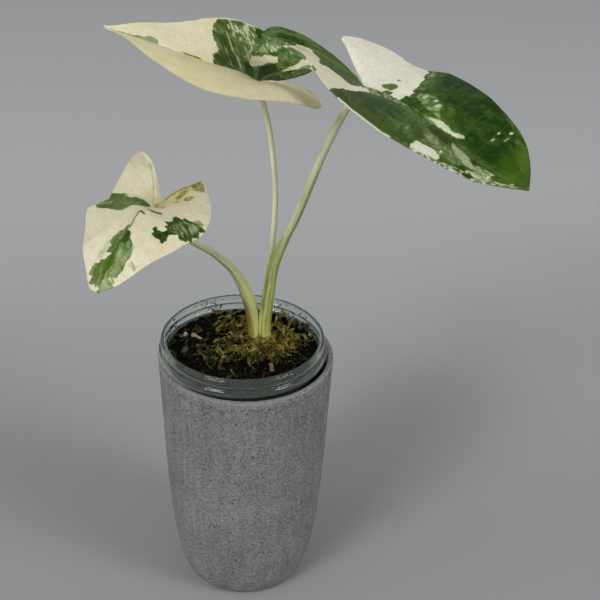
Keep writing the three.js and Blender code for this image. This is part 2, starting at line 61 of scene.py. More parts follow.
Array = np.ndarray
Colour = tuple[float, float, float]
Material = bpy.types.Material
Piece = bpy.types.Object
Points = Sequence[Sequence[float]]
Place = Callable[[Array, Array], Array]
Section = Callable[[Array, Array], tuple[Array, Array]]
Values = Callable[[Array, Array], dict[str, Array]]


# Shader building blocks


class Wire:
    """An output socket that adds Math nodes when it is used in arithmetic."""

    def __init__(self, look: "Look", socket: bpy.types.NodeSocket) -> None:
        """Keeps the material and the output it stands for."""
        self.look = look
        self.socket = socket

    def math(self, operation: str, *values: "Wire | float") -> "Wire":
        """Adds a Math node."""
        return self.look.node("ShaderNodeMath", {"operation": operation}, dict(enumerate(values)))

    def __add__(self, other: "Wire | float") -> "Wire":
        """Returns the sum."""
        return self.math("ADD", self, other)

    def __sub__(self, other: "Wire | float") -> "Wire":
        """Returns the difference."""
        return self.math("SUBTRACT", self, other)

    def __rsub__(self, other: float) -> "Wire":
        """Returns the difference from a plain number."""
        return self.math("SUBTRACT", other, self)

    def __mul__(self, other: "Wire | float") -> "Wire":
        """Returns the product."""
        return self.math("MULTIPLY", self, other)

    def clamped(self) -> "Wire":
        """Returns the value held between 0 and 1."""
        return self.ramped(0.0, 1.0)

    def ramped(self, low: float, high: float, smooth: bool = False) -> "Wire":
        """Maps a range to 0 to 1.

        Args:
            low: the value that gives 0.
            high: the value that gives 1.
            smooth: whether the ends ease in and out.

        Returns:
            The mapped value, held between 0 and 1.
        """
        kind = "SMOOTHSTEP" if smooth else "LINEAR"
        sockets = {"Value": self, "From Min": low, "From Max": high}
        return self.look.node("ShaderNodeMapRange", {"interpolation_type": kind}, sockets)


class Look:
    """A material with one Principled shader, built node by node."""

    def __init__(self, name: str, **constants: float) -> None:
        """Makes the material.

        Args:
            name: the material's name.
            constants: values of the shader's own sockets, with _ for a space.
        """
        self.material = bpy.data.materials.new(name)
        self.material.use_nodes = True
        self.tree = self.material.node_tree
        self.shader = self.tree.nodes["Principled BSDF"]
        self.place = self.node("ShaderNodeTexCoord", output="Object")
        for socket, value in constants.items():
            self.feed(socket.replace("_", " "), value)

    def node(self, kind: str, settings: dict | None = None, sockets: dict | None = None,
             output: int | str = 0) -> Wire:
        """Adds a node.

        Args:
            kind: the node's type.
            settings: its properties, set first.
            sockets: values or wires for its inputs.
            output: which output to return.

        Returns:
            That output.
        """
        made = self.tree.nodes.new(kind)
        for key, value in (settings or {}).items():
            setattr(made, key, value)
        for key, value in (sockets or {}).items():
            self.connect(made.inputs[key], value)
        return Wire(self, made.outputs[output])

    def connect(self, socket: bpy.types.NodeSocket, value: object) -> None:
        """Links a wire to an input, or sets its value.

        Args:
            socket: the input.
            value: a wire, a colour or a number.
        """
        if isinstance(value, Wire):
            self.tree.links.new(value.socket, socket)
        elif socket.type == "RGBA":
            socket.default_value = (*value, 1.0)
        else:
            socket.default_value = value

    def feed(self, socket: str, value: object) -> None:
        """Links a wire to one of the shader's inputs, or sets its value."""
        self.connect(self.shader.inputs[socket], value)

    def stretched(self, factors: Sequence[float], vector: Wire | None = None) -> Wire:
        """Scales a vector, or the Object coordinates, by a factor along each axis."""
        sockets = {0: vector or self.place, 1: tuple(factors)}
        return self.node("ShaderNodeVectorMath", {"operation": "MULTIPLY"}, sockets)

    def noise(self, size: float, detail: float = 2.0, vector: Wire | None = None) -> Wire:
        """Returns noise, about 0.3 to 0.7, with features about as wide as size in metres."""
        sockets = {"Vector": vector or self.place, "Scale": 1.0 / size, "Detail": detail}
        return self.node("ShaderNodeTexNoise", sockets=sockets)

    def cells(self, size: float, feature: str = "F1") -> Wire:
        """Returns a Voronoi texture's distance, in cells about as wide as size in metres."""
        sockets = {"Vector": self.place, "Scale": 1.0 / size}
        return self.node("ShaderNodeTexVoronoi", {"feature": feature}, sockets, "Distance")

    def axis(self, name: str) -> Wire:
        """Returns one of the Object coordinates, in metres."""
        return self.node("ShaderNodeSeparateXYZ", sockets={0: self.place}, output=name)

    def attribute(self, name: str, output: str = "Fac") -> Wire:
        """Reads one of the mesh's own attributes."""
        return self.node("ShaderNodeAttribute", {"attribute_name": name}, output=output)

    def mixed(self, share: Wire | float, low: Wire | Colour, high: Wire | Colour) -> Wire:
        """Mixes two colours by a share, which is how much of the second there is."""
        return self.node("ShaderNodeMix", {"data_type": "RGBA"}, {0: share, 6: low, 7: high}, 2)

    def ramp(self, value: Wire, stops: Sequence[tuple[float, Colour]]) -> Wire:
        """Turns a value into a colour.

        Args:
            value: the value, 0 to 1.
            stops: (position, colour) pairs, in order.

        Returns:
            The colour.
        """
        colour = self.node("ShaderNodeValToRGB", sockets={0: value})
        elements = colour.socket.node.color_ramp.elements
        while len(elements) < len(stops):
            elements.new(1.0)
        for element, (position, tint) in zip(elements, stops):
            element.position = position
            element.color = (*tint, 1.0)
        return colour

    def bumped(self, height: Wire, depth: float) -> None:
        """Feeds a Bump node to the shader. A height of 1 stands for depth metres."""
        self.feed("Normal", self.node("ShaderNodeBump", sockets={"Height": height, "Distance": depth}))


# Finishes


@dataclass(frozen=True)
class RoughConcrete:
    """The cover pot's cast grey body: fine grain, pinholes and faint upright streaks."""

    light: Colour = (0.36, 0.352, 0.35)
    dark: Colour = (0.115, 0.112, 0.112)
    pit: Colour = (0.05, 0.048, 0.048)
    worn: Colour = (0.34, 0.325, 0.29)
    grain: float = 1.3 * MM
    roughness: float = 0.95
    rim: float = 133.6 * MM

    def material(self) -> Material:
        """Returns the material."""
        look = Look("rough_concrete", Roughness=self.roughness)
        rim = self.rim
        grain = look.noise(self.grain, 5.0)
        sand = look.noise(0.55 * MM, 3.0)
        cloud = look.noise(16 * MM, 3.0)
        streak = look.noise(3.2 * MM, 4.0, look.stretched((1.0, 1.0, 0.07)))
        tone = (grain * 0.5 + sand * 0.56 + cloud * 0.16 + streak * 0.2).ramped(0.56, 0.87)
        body = look.mixed(tone, self.dark, self.light)
        height = look.axis("Z") + (grain - 0.5) * (1.5 * MM)
        body = look.mixed(height.ramped(rim + 0.6 * MM, rim + 2.2 * MM) * 0.22, body, self.worn)
        pinhole = look.cells(2.6 * MM).ramped(0.24, 0.1) * look.noise(5 * MM).ramped(0.47, 0.56)
        ring = height.ramped(rim - 3 * MM, rim - 1 * MM) * height.ramped(rim + 1 * MM, rim)
        speck = (pinhole * 0.8 + ring * sand.ramped(0.5, 0.42) * 0.75).clamped()
        look.feed("Base Color", look.mixed(speck, body, self.pit))
        look.bumped(grain * 0.9 + sand * 0.5 - pinhole * 0.6, 1.1 * MM)
        return look.material


@dataclass(frozen=True)
class ClearPlastic:
    """The cup's clear plastic, faintly green where it is thick."""

    tint: Colour = (0.84, 0.9, 0.84)
    clouded: Colour = (0.72, 0.8, 0.73)
    clearness: float = 0.97
    roughness: float = 0.07
    ior: float = 1.45

    def material(self) -> Material:
        """Returns the material."""
        look = Look("clear_plastic", IOR=self.ior, Transmission_Weight=self.clearness)
        haze = look.noise(9 * MM, 3.0).ramped(0.4, 0.75)
        look.feed("Base Color", look.mixed(haze, self.tint, self.clouded))
        look.feed("Roughness", haze * 0.03 + self.roughness)
        return look.material


@dataclass(frozen=True)
class DarkSoil:
    """Moist black-brown potting mix."""

    dark: Colour = (0.0015, 0.0012, 0.001)
    light: Colour = (0.006, 0.0045, 0.003)
    algae: Colour = (0.008, 0.01, 0.002)
    roughness: float = 0.9

    def material(self) -> Material:
        """Returns the material."""
        look = Look("dark_soil", Roughness=self.roughness, Specular_IOR_Level=0.08)
        grain = look.noise(1.6 * MM, 5.0)
        tone = (grain * 0.7 + look.noise(9 * MM) * 0.5).ramped(0.52, 0.8)
        moist = look.mixed(tone, self.dark, self.light)
        algae = look.noise(6 * MM, 3.0, look.stretched((1.0, 1.0, 0.4))).ramped(0.56, 0.66)
        look.feed("Base Color", look.mixed(algae * 0.6, moist, self.algae))
        look.bumped(grain, 0.9 * MM)
        return look.material


@dataclass(frozen=True)
class Flake:
    """Something small and dry, such as bark, a root scrap or the corm's skin."""

    name: str
    dark: Colour
    light: Colour
    grain: float = 1.2 * MM
    roughness: float = 0.85

    def material(self) -> Material:
        """Returns the material."""
        look = Look(self.name, Roughness=self.roughness)
        tone = (look.noise(self.grain, 3.0) * 0.6 + look.noise(self.grain * 6, 1.0) * 0.7).ramped(0.48, 0.82)
        look.feed("Base Color", look.mixed(tone, self.dark, self.light))
        look.bumped(look.noise(self.grain * 0.4), 0.3 * MM)
        return look.material


@dataclass(frozen=True)
class StalkSkin:
    """Smooth satin skin of a leaf stalk, finely ribbed along its length."""

    name: str
    pale: Colour
    green: Colour
    warm: Colour
    brown: Colour = (0.28, 0.2, 0.03)
    roughness: float = 0.42

    def material(self) -> Material:
        """Returns the material."""
        look = Look(self.name, Subsurface_Weight=0.12, Subsurface_Scale=2 * MM)
        skin = look.attribute("skin", "Vector")
        streak = look.noise(0.5, 3.0, look.stretched((1.0, 1.0, 0.05), skin))
        rib = look.noise(0.28, 1.0, look.stretched((1.0, 1.0, 0.01), skin))
        tone = (look.attribute("tone") + (streak - 0.5) * 1.2 + (rib - 0.5) * 1.5).clamped()
        pale = look.mixed(look.attribute("warm").clamped(), self.pale, self.warm)
        body = look.mixed(tone, pale, self.green)
        look.feed("Base Color", look.mixed(look.attribute("brown").clamped(), body, self.brown))
        look.feed("Roughness", streak * 0.2 + (self.roughness - 0.1))
        look.bumped(rib * 0.8 + look.noise(0.8 * MM, 1.0) * 0.2, 0.35 * MM)
        return look.material


@dataclass(frozen=True)
class LeafSkin:
    """Satin skin of a blade: cream to dark green by the blade's own tone attribute."""

    name: str
    cream: Colour = (0.8, 0.75, 0.57)
    roughness: float = 0.44
    greens: tuple[tuple[float, Colour], ...] = (
        (0.14, (0.56, 0.58, 0.37)),
        (0.28, (0.29, 0.36, 0.17)),
        (0.48, (0.115, 0.18, 0.045)),
        (0.7, (0.05, 0.095, 0.01)),
        (1.0, (0.008, 0.034, 0.0005)),
    )
    yellow: Colour = (0.62, 0.54, 0.22)
    # The olive brown also serves as painted shade in two places on the left leaf.
    olive: Colour = (0.19, 0.175, 0.015)
    lime: Colour = (0.075, 0.15, 0.002)
    grain: Colour = (0.6, 0.53, 0.38)
    underside: Colour = (0.2, 0.27, 0.14)

    def material(self) -> Material:
        """Returns the material."""
        look = Look(self.name, Subsurface_Weight=0.08, Subsurface_Scale=1.5 * MM, Specular_IOR_Level=0.16)
        fleck = look.noise(1.3 * MM, 3.0)
        cloud = look.noise(11 * MM)
        tone = look.attribute("tone")
        grade = (fleck - 0.5) * 0.22 + (cloud - 0.5) * 0.16
        mottled = tone + grade * tone.ramped(0.05, 0.4) - look.attribute("vein") * tone * 0.12
        body = look.ramp(mottled.clamped(), ((0.0, self.cream), *self.greens))
        grain = look.noise(1.6 * MM, 4.0).ramped(0.48, 0.68) * tone.ramped(0.2, 0.0)
        body = look.mixed(grain * 0.4, body, self.grain)
        hue = look.attribute("hue") * tone.ramped(0.3, 0.05)
        body = look.mixed((hue * (cloud + 0.5)).clamped(), body, self.yellow)
        body = look.mixed(look.attribute("lime") * tone.ramped(0.3, 0.6), body, self.lime)
        body = look.mixed((look.attribute("olive") * (fleck + 0.5)).clamped(), body, self.olive)
        under = look.attribute("under") * tone.ramped(0.1, 0.5) * 0.5
        look.feed("Base Color", look.mixed(under, body, self.underside))
        look.feed("Roughness", fleck * 0.16 + (self.roughness - 0.08))
        net = look.cells(2.2 * MM, "DISTANCE_TO_EDGE").ramped(0.0, 0.12)
        look.bumped(net * 0.3 + fleck * 0.4, 0.1 * MM)
        return look.material


@dataclass(frozen=True)
class MossSkin:
    """Moss: dark at the stems and brighter towards the leaf tips, golden in some tufts. The dark end is
    partly the stems' own colour and partly painted shade deep in the tufts.
    """

    name: str
    dark: Colour
    green: Colour
    gold: Colour

    def material(self) -> Material:
        """Returns the material."""
        look = Look(self.name, Roughness=0.7, Specular_IOR_Level=0.25)
        tuft = look.noise(4.5 * MM, 3.0).ramped(0.42, 0.66)
        leaf = look.mixed(tuft, self.green, self.gold)
        shade = look.attribute("tip") * (look.noise(1.1 * MM) + 0.45)
        look.feed("Base Color", look.mixed(shade.clamped(), self.dark, leaf))
        look.bumped(look.noise(0.4 * MM), 0.15 * MM)
        return look.material


# Modelling helpers


def select_only(piece: Piece) -> None:
    """Selects one piece and makes it active."""
    bpy.ops.object.select_all(action="DESELECT")
    piece.select_set(True)
    bpy.context.view_layer.objects.active = piece


def added(name: str, operator: Callable[..., object], **settings: object) -> Piece:
    """Adds a primitive.

    Args:
        name: the new piece's name.
        operator: the operator that adds it.
        settings: the operator's settings.

    Returns:
        The piece.
    """
    bpy.ops.object.select_all(action="DESELECT")
    operator(**settings)
    piece = bpy.context.object
    piece.name = name
    return piece


def edit(piece: Piece, *steps: Callable[[], object]) -> None:
    """Runs operators on everything in a mesh, in edit mode.

    Args:
        piece: the mesh's object.
        steps: functions that call the operators.
    """
    select_only(piece)
    bpy.ops.object.mode_set(mode="EDIT")
    bpy.ops.mesh.select_all(action="SELECT")
    for step in steps:
        step()
    bpy.ops.object.mode_set(mode="OBJECT")


def tidy_mesh(piece: Piece, gap: float = 0.01 * MM) -> None:
    """Merges vertices that are closer than a gap, and points the faces out."""
    edit(piece, lambda: bpy.ops.mesh.remove_doubles(threshold=gap))
    edit(piece, lambda: bpy.ops.mesh.normals_make_consistent(inside=False))


def face_up(piece: Piece) -> None:
    """Flips a sheet that faces down."""
    if get_rows(piece, "normal")[:, 2].mean() < 0:
        edit(piece, lambda: bpy.ops.mesh.flip_normals())


def apply_modifier(piece: Piece, kind: str, **settings: object) -> None:
    """Adds a modifier and applies it.

    Args:
        piece: the mesh's object.
        kind: the modifier's type.
        settings: its settings.
    """
    select_only(piece)
    modifier = piece.modifiers.new(kind.lower(), kind)
    for key, value in settings.items():
        setattr(modifier, key, value)
    bpy.ops.object.modifier_apply(modifier=modifier.name)


def join_pieces(pieces: Sequence[Piece], name: str) -> Piece:
    """Joins pieces into the first one.

    Args:
        pieces: the pieces.
        name: the joined piece's name.

    Returns:
        The joined piece.
    """
    select_only(pieces[0])
    for piece in pieces:
        piece.select_set(True)
    bpy.ops.object.join()
    pieces[0].name = name
    return pieces[0]


def get_rows(piece: Piece, key: str = "co") -> Array:
    """Returns a mesh's vertices as rows, or their normals for the key normal."""
    flat = np.zeros(len(piece.data.vertices) * 3)
    piece.data.vertices.foreach_get(key, flat)
    return flat.reshape(-1, 3)


def set_points(piece: Piece, points: Array) -> None:
    """Moves a mesh's vertices to rows of points."""
    piece.data.vertices.foreach_set("co", points.ravel())
    piece.data.update()


def set_values(piece: Piece, name: str, values: Array) -> None:
    """Stores one number or row of three for each vertex, under a name."""
    kind, key = ("FLOAT", "value") if values.ndim == 1 else ("FLOAT_VECTOR", "vector")
    stored = piece.data.attributes.new(name, kind, "POINT")
    stored.data.foreach_set(key, np.ascontiguousarray(values, np.float32).ravel())


def get_values(piece: Piece, name: str) -> Array:
    """Returns a stored number for each vertex."""
    values = np.zeros(len(piece.data.vertices), np.float32)
    piece.data.attributes[name].data.foreach_get("value", values)
    return values


def sheet(name: str, columns: int, rows: int, place: Place, values: Values | None = None) -> Piece:
    """Adds a grid and moves its vertices over a surface.

    Args:
        name: the piece's name.
        columns: how many faces it has along the first direction.
        rows: how many along the second.
        place: gives the points for two arrays that each run from 0 to 1.
        values: gives the attributes to store, for the same two arrays.

    Returns:
        The piece.
    """
    piece = added(name, bpy.ops.mesh.primitive_grid_add, x_subdivisions=columns, y_subdivisions=rows)
    flat = get_rows(piece)
    u, v = (flat[:, 0] + 1) / 2, (flat[:, 1] + 1) / 2
    set_points(piece, place(u, v))
    for key, value in (values(u, v) if values else {}).items():
        set_values(piece, key, value)
    return piece


def disc(size: Array, angle: Array) -> tuple[Array, Array]:
    """Returns the offsets across and back at angles on a circle."""
    return size * np.cos(angle), size * np.sin(angle)


def tube(name: str, sides: int, rows: int, path: "SmoothPath", section: Section, values: Values) -> Piece:
    """Adds a closed tube along a path, with both of its ends drawn in to a point.

    Args:
        name: the piece's name.
        sides: how many faces it has around.
        rows: how many along.
        path: its centre line.
        section: gives the offsets across and back for angles and shares of the length.
        values: gives the attributes to store, for the same two arrays.

    Returns:
        The piece.
    """
    def place(u: Array, v: Array) -> Array:
        """Places points round the path."""
        centre, tangent = path.even(v), path.heading(v)
        across = np.cross(np.array([0.02, 1.0, 0.05]), tangent)
        across /= np.linalg.norm(across, axis=1)[:, None]
        back = np.cross(tangent, across)
        along_across, along_back = section(TURN * u, v)
        closed = ((v > 0.5 / rows) & (v < 1 - 0.5 / rows))[:, None]
        return centre + closed * (across * along_across[:, None] + back * along_back[:, None])

    piece = sheet(name, sides, rows, place, lambda u, v: values(TURN * u, v))
    tidy_mesh(piece, 0.001 * MM)
    return piece


def turned(name: str, profile: Points, sides: int) -> Piece:
    """Turns a profile about +Z: a ring is added, extruded and resized from point to point.

    Args:
        name: the piece's name.
        profile: (radius, height) points. The ends are closed with a fan at the axis.
        sides: how many sides a ring has.

    Returns:
        The closed piece.
    """
    radius, height = profile[0]
    piece = added(name, bpy.ops.mesh.primitive_circle_add, vertices=sides, radius=radius,
                  location=(0, 0, height), fill_type="TRIFAN")
    bpy.ops.object.transform_apply(location=True)
    bpy.ops.object.mode_set(mode="EDIT")
    bpy.ops.mesh.select_all(action="DESELECT")
    bpy.ops.object.mode_set(mode="OBJECT")
    for vertex in piece.data.vertices:
        vertex.select = math.hypot(vertex.co.x, vertex.co.y) > radius / 2
    bpy.ops.object.mode_set(mode="EDIT")
    for next_radius, next_height in profile[1:]:
        bpy.ops.mesh.extrude_edges_move()
        bpy.ops.transform.translate(value=(0, 0, next_height - height))
        scale = next_radius / radius
        bpy.ops.transform.resize(value=(scale, scale, 1), center_override=(0, 0, next_height))
        radius, height = next_radius, next_height
    bpy.ops.mesh.edge_face_add()
    bpy.ops.mesh.poke()
    bpy.ops.object.mode_set(mode="OBJECT")
    tidy_mesh(piece)
    return piece


def copies(original: Piece, places: Iterable[Matrix], name: str) -> Piece:
    """Copies a piece to several places and joins the copies.

    Args:
        original: the piece, which is used up.
        places: one matrix for each copy.
        name: the joined piece's name.

    Returns:
        The joined piece.
    """
    made = []
    for place in places:
        copy = original.copy()
        copy.data = original.data.copy()
        copy.data.transform(place)
        bpy.context.scene.collection.objects.link(copy)
        made.append(copy)
    bpy.data.objects.remove(original)
    return join_pieces(made, name)


def finish_piece(piece: Piece, material: Material, slot: str, *replaces: str, angle: float = 60.0) -> Piece:
    """Dresses a piece, puts its origin at the frame's and lets it ride.

    Args:
        piece: the piece.
        material: its material.
        slot: the record's material slot that it belongs to; not used.
        replaces: the CAD nodes that it stands for.
        angle: edges sharper than this stay sharp, in degrees.

    Returns:
        The piece.
    """
    select_only(piece)
    bpy.ops.object.transform_apply(location=True, rotation=True, scale=True)
    bpy.ops.object.shade_smooth_by_angle(angle=math.radians(angle))
    piece.data.materials.clear()
    piece.data.materials.append(material)
    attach(piece, BODY)
    if replaces:
        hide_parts(*replaces)
    LOG.info("%s: %d faces", piece.name, len(piece.data.polygons))
    return piece


def lattice_noise(x: Array, y: Array, seed: int) -> Array:
    """Smooth seeded noise on a unit lattice.

    Args:
        x: first coordinates.
        y: second coordinates.
        seed: picks the pattern.

    Returns:
        Values from 0 to 1.
    """
    def corner(i: Array, j: Array) -> Array:
        """Returns a fixed random number for each lattice point."""
        mixed = (i * 374761393 + j * 668265263 + seed * 982451653) & 0xFFFFFFFF
        mixed = ((mixed ^ (mixed >> 13)) * 1274126177) & 0xFFFFFFFF
        return ((mixed ^ (mixed >> 16)) & 0xFFFF) / 65535.0

    i, j = np.floor(x).astype(np.int64), np.floor(y).astype(np.int64)
    u, v = x - i, y - j
    u, v = u * u * (3 - 2 * u), v * v * (3 - 2 * v)
    low = corner(i, j) * (1 - u) + corner(i + 1, j) * u
    high = corner(i, j + 1) * (1 - u) + corner(i + 1, j + 1) * u
    return low * (1 - v) + high * v


def layered_noise(x: Array, y: Array, seed: int, octaves: int) -> Array:
    """Sums finer and finer layers of noise, to values from about -0.5 to 0.5."""
    return sum((lattice_noise(x * 2**k, y * 2**k, seed + k) - 0.5) / 2**k for k in range(octaves))


def spot_noise(x: float, y: float, size: float, seed: int) -> float:
    """Returns two layers of noise at one place, with features about as wide as size."""
    return layered_noise(np.array([x / size]), np.array([y / size]), seed, 2)[0]


def smoothstep(low: float, high: float, value: Array) -> Array:
    """Eases from 0 at low to 1 at high."""
    part = np.clip((value - low) / (high - low), 0.0, 1.0)
    return part * part * (3 - 2 * part)


def bump(value: Array, width: float) -> Array:
    """Returns a bell that is 1 at zero and falls off over a width."""
    return np.exp(-(value / width)**2)


def planar(angle: float) -> Array:
    """Returns the unit vector at an angle from +X, in radians."""
    return np.array([math.cos(angle), math.sin(angle), 0.0])


class SmoothPath:
    """A uniform Catmull-Rom curve through points."""

    def __init__(self, points: Array) -> None:
        """Measures the curve through rows of points."""
        self.points = np.asarray(points, float)
        self.steps = np.linspace(0.0, 1.0, 401)
        pieces = np.linalg.norm(np.diff(self.at(self.steps), axis=0), axis=1)
        self.reach = np.r_[0.0, np.cumsum(pieces)]
        self.length = self.reach[-1]

    def at(self, place: Array) -> Array:
        """Returns points of the curve.

        Args:
            place: places from 0 to 1, counted by the curve's own points.

        Returns:
            One row for each place.
        """
        p = self.points
        knots = np.vstack([2 * p[0] - p[1], p, 2 * p[-1] - p[-2]])
        scaled = np.clip(place, 0.0, 1.0) * (len(p) - 1)
        first = np.minimum(scaled.astype(int), len(p) - 2)
        t = (scaled - first)[:, None]
        a, b, c, d = (knots[first + k] for k in range(4))
        bend = (2 * a - 5 * b + 4 * c - d) * t**2 + (3 * b - a - 3 * c + d) * t**3
        return 0.5 * (2 * b + (c - a) * t + bend)

    def even(self, share: Array) -> Array:
        """Returns points at shares of the curve's length."""
        return self.at(np.interp(np.asarray(share) * self.length, self.reach, self.steps))

    def heading(self, share: Array, step: float = 0.004) -> Array:
        """Returns unit tangents at shares of the curve's length."""
        ahead = self.even(np.minimum(share + step, 1.0)) - self.even(np.maximum(share - step, 0.0))
        return ahead / np.linalg.norm(ahead, axis=1)[:, None]


# The holders: cover pot and clear cup


@dataclass
class CoverPot:
    """The tapered cover pot: straight walls above a bend to a narrow foot."""

    finish: RoughConcrete = field(default_factory=RoughConcrete)
    height: float = 137.6 * MM
    rim_radius: float = 45.0 * MM
    foot_radius: float = 28.6 * MM
    wall: float = 3.0 * MM
    floor: float = 8.0 * MM
    taper_radius: float = 39.0 * MM
    shoulder: float = 73.9 * MM
    bend_pull: float = 0.62
    rim_round: float = 0.9 * MM
    relief: float = 0.16 * MM
    grain: tuple[float, float] = (2.6 * MM, 3.4 * MM)
    streak: tuple[float, float] = (3.5 * MM, 40 * MM)
    sides: int = 256

    def wall_points(self, inset: float, foot_height: float, steps: int) -> list[tuple[float, float]]:
        """Traces one face of the wall from the foot to just under the rim.

        Args:
            inset: how far inside the outer face it lies.
            foot_height: the height that it starts at.
            steps: points on the bend, and again above it.

        Returns:
            (radius, height) points.
        """
        slope = (self.rim_radius - self.taper_radius) / self.height
        foot = Vector((self.foot_radius - inset, foot_height))
        corner = Vector((self.taper_radius - inset, foot_height))
        shoulder = Vector((self.taper_radius + slope * self.shoulder - inset, self.shoulder))
        low, high = foot.lerp(corner, self.bend_pull), shoulder.lerp(corner, self.bend_pull)
        points = []
        for k in range(steps + 1):
            t = k / steps
            place = foot * (1 - t)**3 + low * 3 * t * (1 - t)**2 + high * 3 * t * t * (1 - t)
            points.append(tuple(place + shoulder * t**3))
        top = Vector((self.rim_radius - inset, self.height - self.rim_round))
        return points + [tuple(shoulder.lerp(top, k / steps)) for k in range(1, steps + 1)]

    def build(self) -> None:
        """Builds and dresses the pot, which stands for its CAD node."""
        outside = self.wall_points(0.0, 0.0, 70)
        inside = self.wall_points(self.wall, self.floor, 16)
        crown = []
        for k in range(1, 6):
            angle = math.pi * k / 12
            inset = self.rim_round * (1 - math.cos(angle))
            crown.append((self.rim_radius - inset, self.height - self.rim_round * (1 - math.sin(angle))))
        far_side = [(2 * self.rim_radius - self.wall - r, z) for r, z in reversed(crown)]
        pot = turned("cover_pot_body", outside + crown + far_side + inside[::-1], self.sides)
        self.roughen(pot)
        finish_piece(pot, self.finish.material(), "grey_concrete", "cover_pot")

    def roughen(self, pot: Piece) -> None:
        """Sinks shallow pits and streaks into the outer wall, and leaves the foot flat.

        Args:
            pot: the pot's mesh.
        """
        points = get_rows(pot)
        radius = np.hypot(points[:, 0], points[:, 1])
        around = np.arctan2(points[:, 1], points[:, 0])
        across, up = np.round(around * 200) / 200 * self.rim_radius, points[:, 2]
        seam = np.abs(around) / np.pi
        grain = 0.0
        for shift, share in ((0.0, 1 - seam), (0.5, seam)):
            turned_across = across + shift * 2 * np.pi * self.rim_radius * (around < 0)
            grain = grain + layered_noise(turned_across / self.grain[0], up / self.grain[1], SEED, 3) * share
        streaks = layered_noise(across / self.streak[0], up / self.streak[1], SEED + 7, 2)
        outer = smoothstep(0.5 * MM, 3 * MM, up) * (radius > self.foot_radius)
        sunk = outer * self.relief * (2.2 * np.minimum(grain, 0.12) - 0.5 + 0.7 * streaks)
        scale = 1 + np.divide(sunk, radius, out=np.zeros_like(radius), where=radius > MM)
        points[:, :2] *= scale[:, None]
        set_points(pot, points)


@dataclass
class ClearCup:
    """The thin clear cup with a double-banded rim. It stands off the pot's centre."""

    finish: ClearPlastic = field(default_factory=ClearPlastic)
    wall: float = 0.8 * MM
    round: float = 1.0 * MM
    sides: int = 160
    bands: tuple[float, float] = (43.2 * MM, 42.0 * MM)
    groove: float = 40.2 * MM
    mouth: float = 39.6 * MM
    foot: float = 30.0 * MM
    band_height: float = 5.05 * MM
    flatness: float = 0.95
    fullness: float = 0.8

    def outline(self, floor: float, ledge: float) -> list[tuple[float, float]]:
        """Traces the cup's outer face from the floor's centre to the lip.

        Args:
            floor: the height of its floor.
            ledge: the height of its ledge, which lies on the pot's rim.

        Returns:
            (radius, height) points.
        """
        points = [(self.foot - self.round, floor), (self.foot, floor + self.round)]
        points += [(self.foot + (self.mouth - self.foot) * k / 10, floor + (ledge - floor) * k / 10)
                   for k in range(1, 10)]
        points.append((self.mouth, ledge))
        for index, band in enumerate(self.bands):
            for k in range(13):
                angle = math.pi * k / 12
                flat = math.copysign(abs(math.cos(angle)) ** self.flatness, -math.cos(angle))
                radius = self.groove + (band - self.groove) * math.sin(angle) ** self.fullness
                points.append((radius, ledge + self.band_height * (index + 0.5 + 0.5 * flat)))
        return points

    def build(self) -> None:
        """Builds and dresses the cup, which stands for its CAD node."""
        low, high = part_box("clear_cup")
        outer = self.outline(low.z, high.z - 2 * self.band_height)
        inner = [(max(r - self.wall, 0.3 * self.foot), z) for r, z in outer if z > low.z + self.wall]
        inner.insert(0, (self.foot - self.wall, low.z + self.wall))
        lip = [(self.groove - self.wall / 2, high.z)]
        cup = turned("clear_cup_shell", outer + lip + inner[::-1], self.sides)
        centre = (low + high) / 2
        set_points(cup, get_rows(cup) + np.array([centre.x, centre.y, 0.0]))
        finish_piece(cup, self.finish.material(), "clear_plastic", "clear_cup", angle=35.0)


# What fills the cup: soil, crumbs, moss


@dataclass
class Ground:
    """The shape of the soil's top, shared by all that lies on it."""

    level: float = 139.6 * MM
    relief: float = 1.1 * MM
    crumb: float = 1.5 * MM
    crown: tuple[float, float] = (7.6 * MM, 6.8 * MM)
    cup_offset: tuple[float, float] = (-1.6 * MM, 0.6 * MM)
    edge: float = 38.2 * MM

    def height(self, x: Array, y: Array) -> Array:
        """Returns the soil's height, with the CAD model's broad lumps and finer crumbs.

        Args:
            x: places along X.
            y: places along Y.

        Returns:
            One height for each place.
        """
        u, v = x / MM, y / MM
        broad = np.sin(0.21 * u + 1.3) * np.cos(0.17 * v - 0.6)
        fine = np.sin(0.63 * u - 0.38 * v + 2) * np.sin(0.29 * u + 0.71 * v)
        crumbs = layered_noise(u / 2.2, v / 2.2, SEED + 3, 4)
        return self.level + self.relief * (0.55 * broad + 0.45 * fine) + self.crumb * crumbs

    def reach(self, angle: Array) -> Array:
        """Returns the distance from the crown to the soil's edge.

        Args:
            angle: angles from +X, in radians.

        Returns:
            One distance for each angle.
        """
        x = self.crown[0] - self.cup_offset[0]
        y = self.crown[1] - self.cup_offset[1]
        along = x * np.cos(angle) + y * np.sin(angle)
        return np.sqrt(self.edge**2 - x**2 - y**2 + along**2) - along

    def from_cup(self, angle: float, far: float) -> tuple[float, float]:
        """Returns the place at an angle and a distance from the cup's centre."""
        return self.cup_offset[0] + far * math.cos(angle), self.cup_offset[1] + far * math.sin(angle)

    def spot(self, x: float, y: float) -> Vector:
        """Returns the point on the soil at a place in metres."""
        return Vector((x, y, self.height(np.array([x]), np.array([y]))[0]))


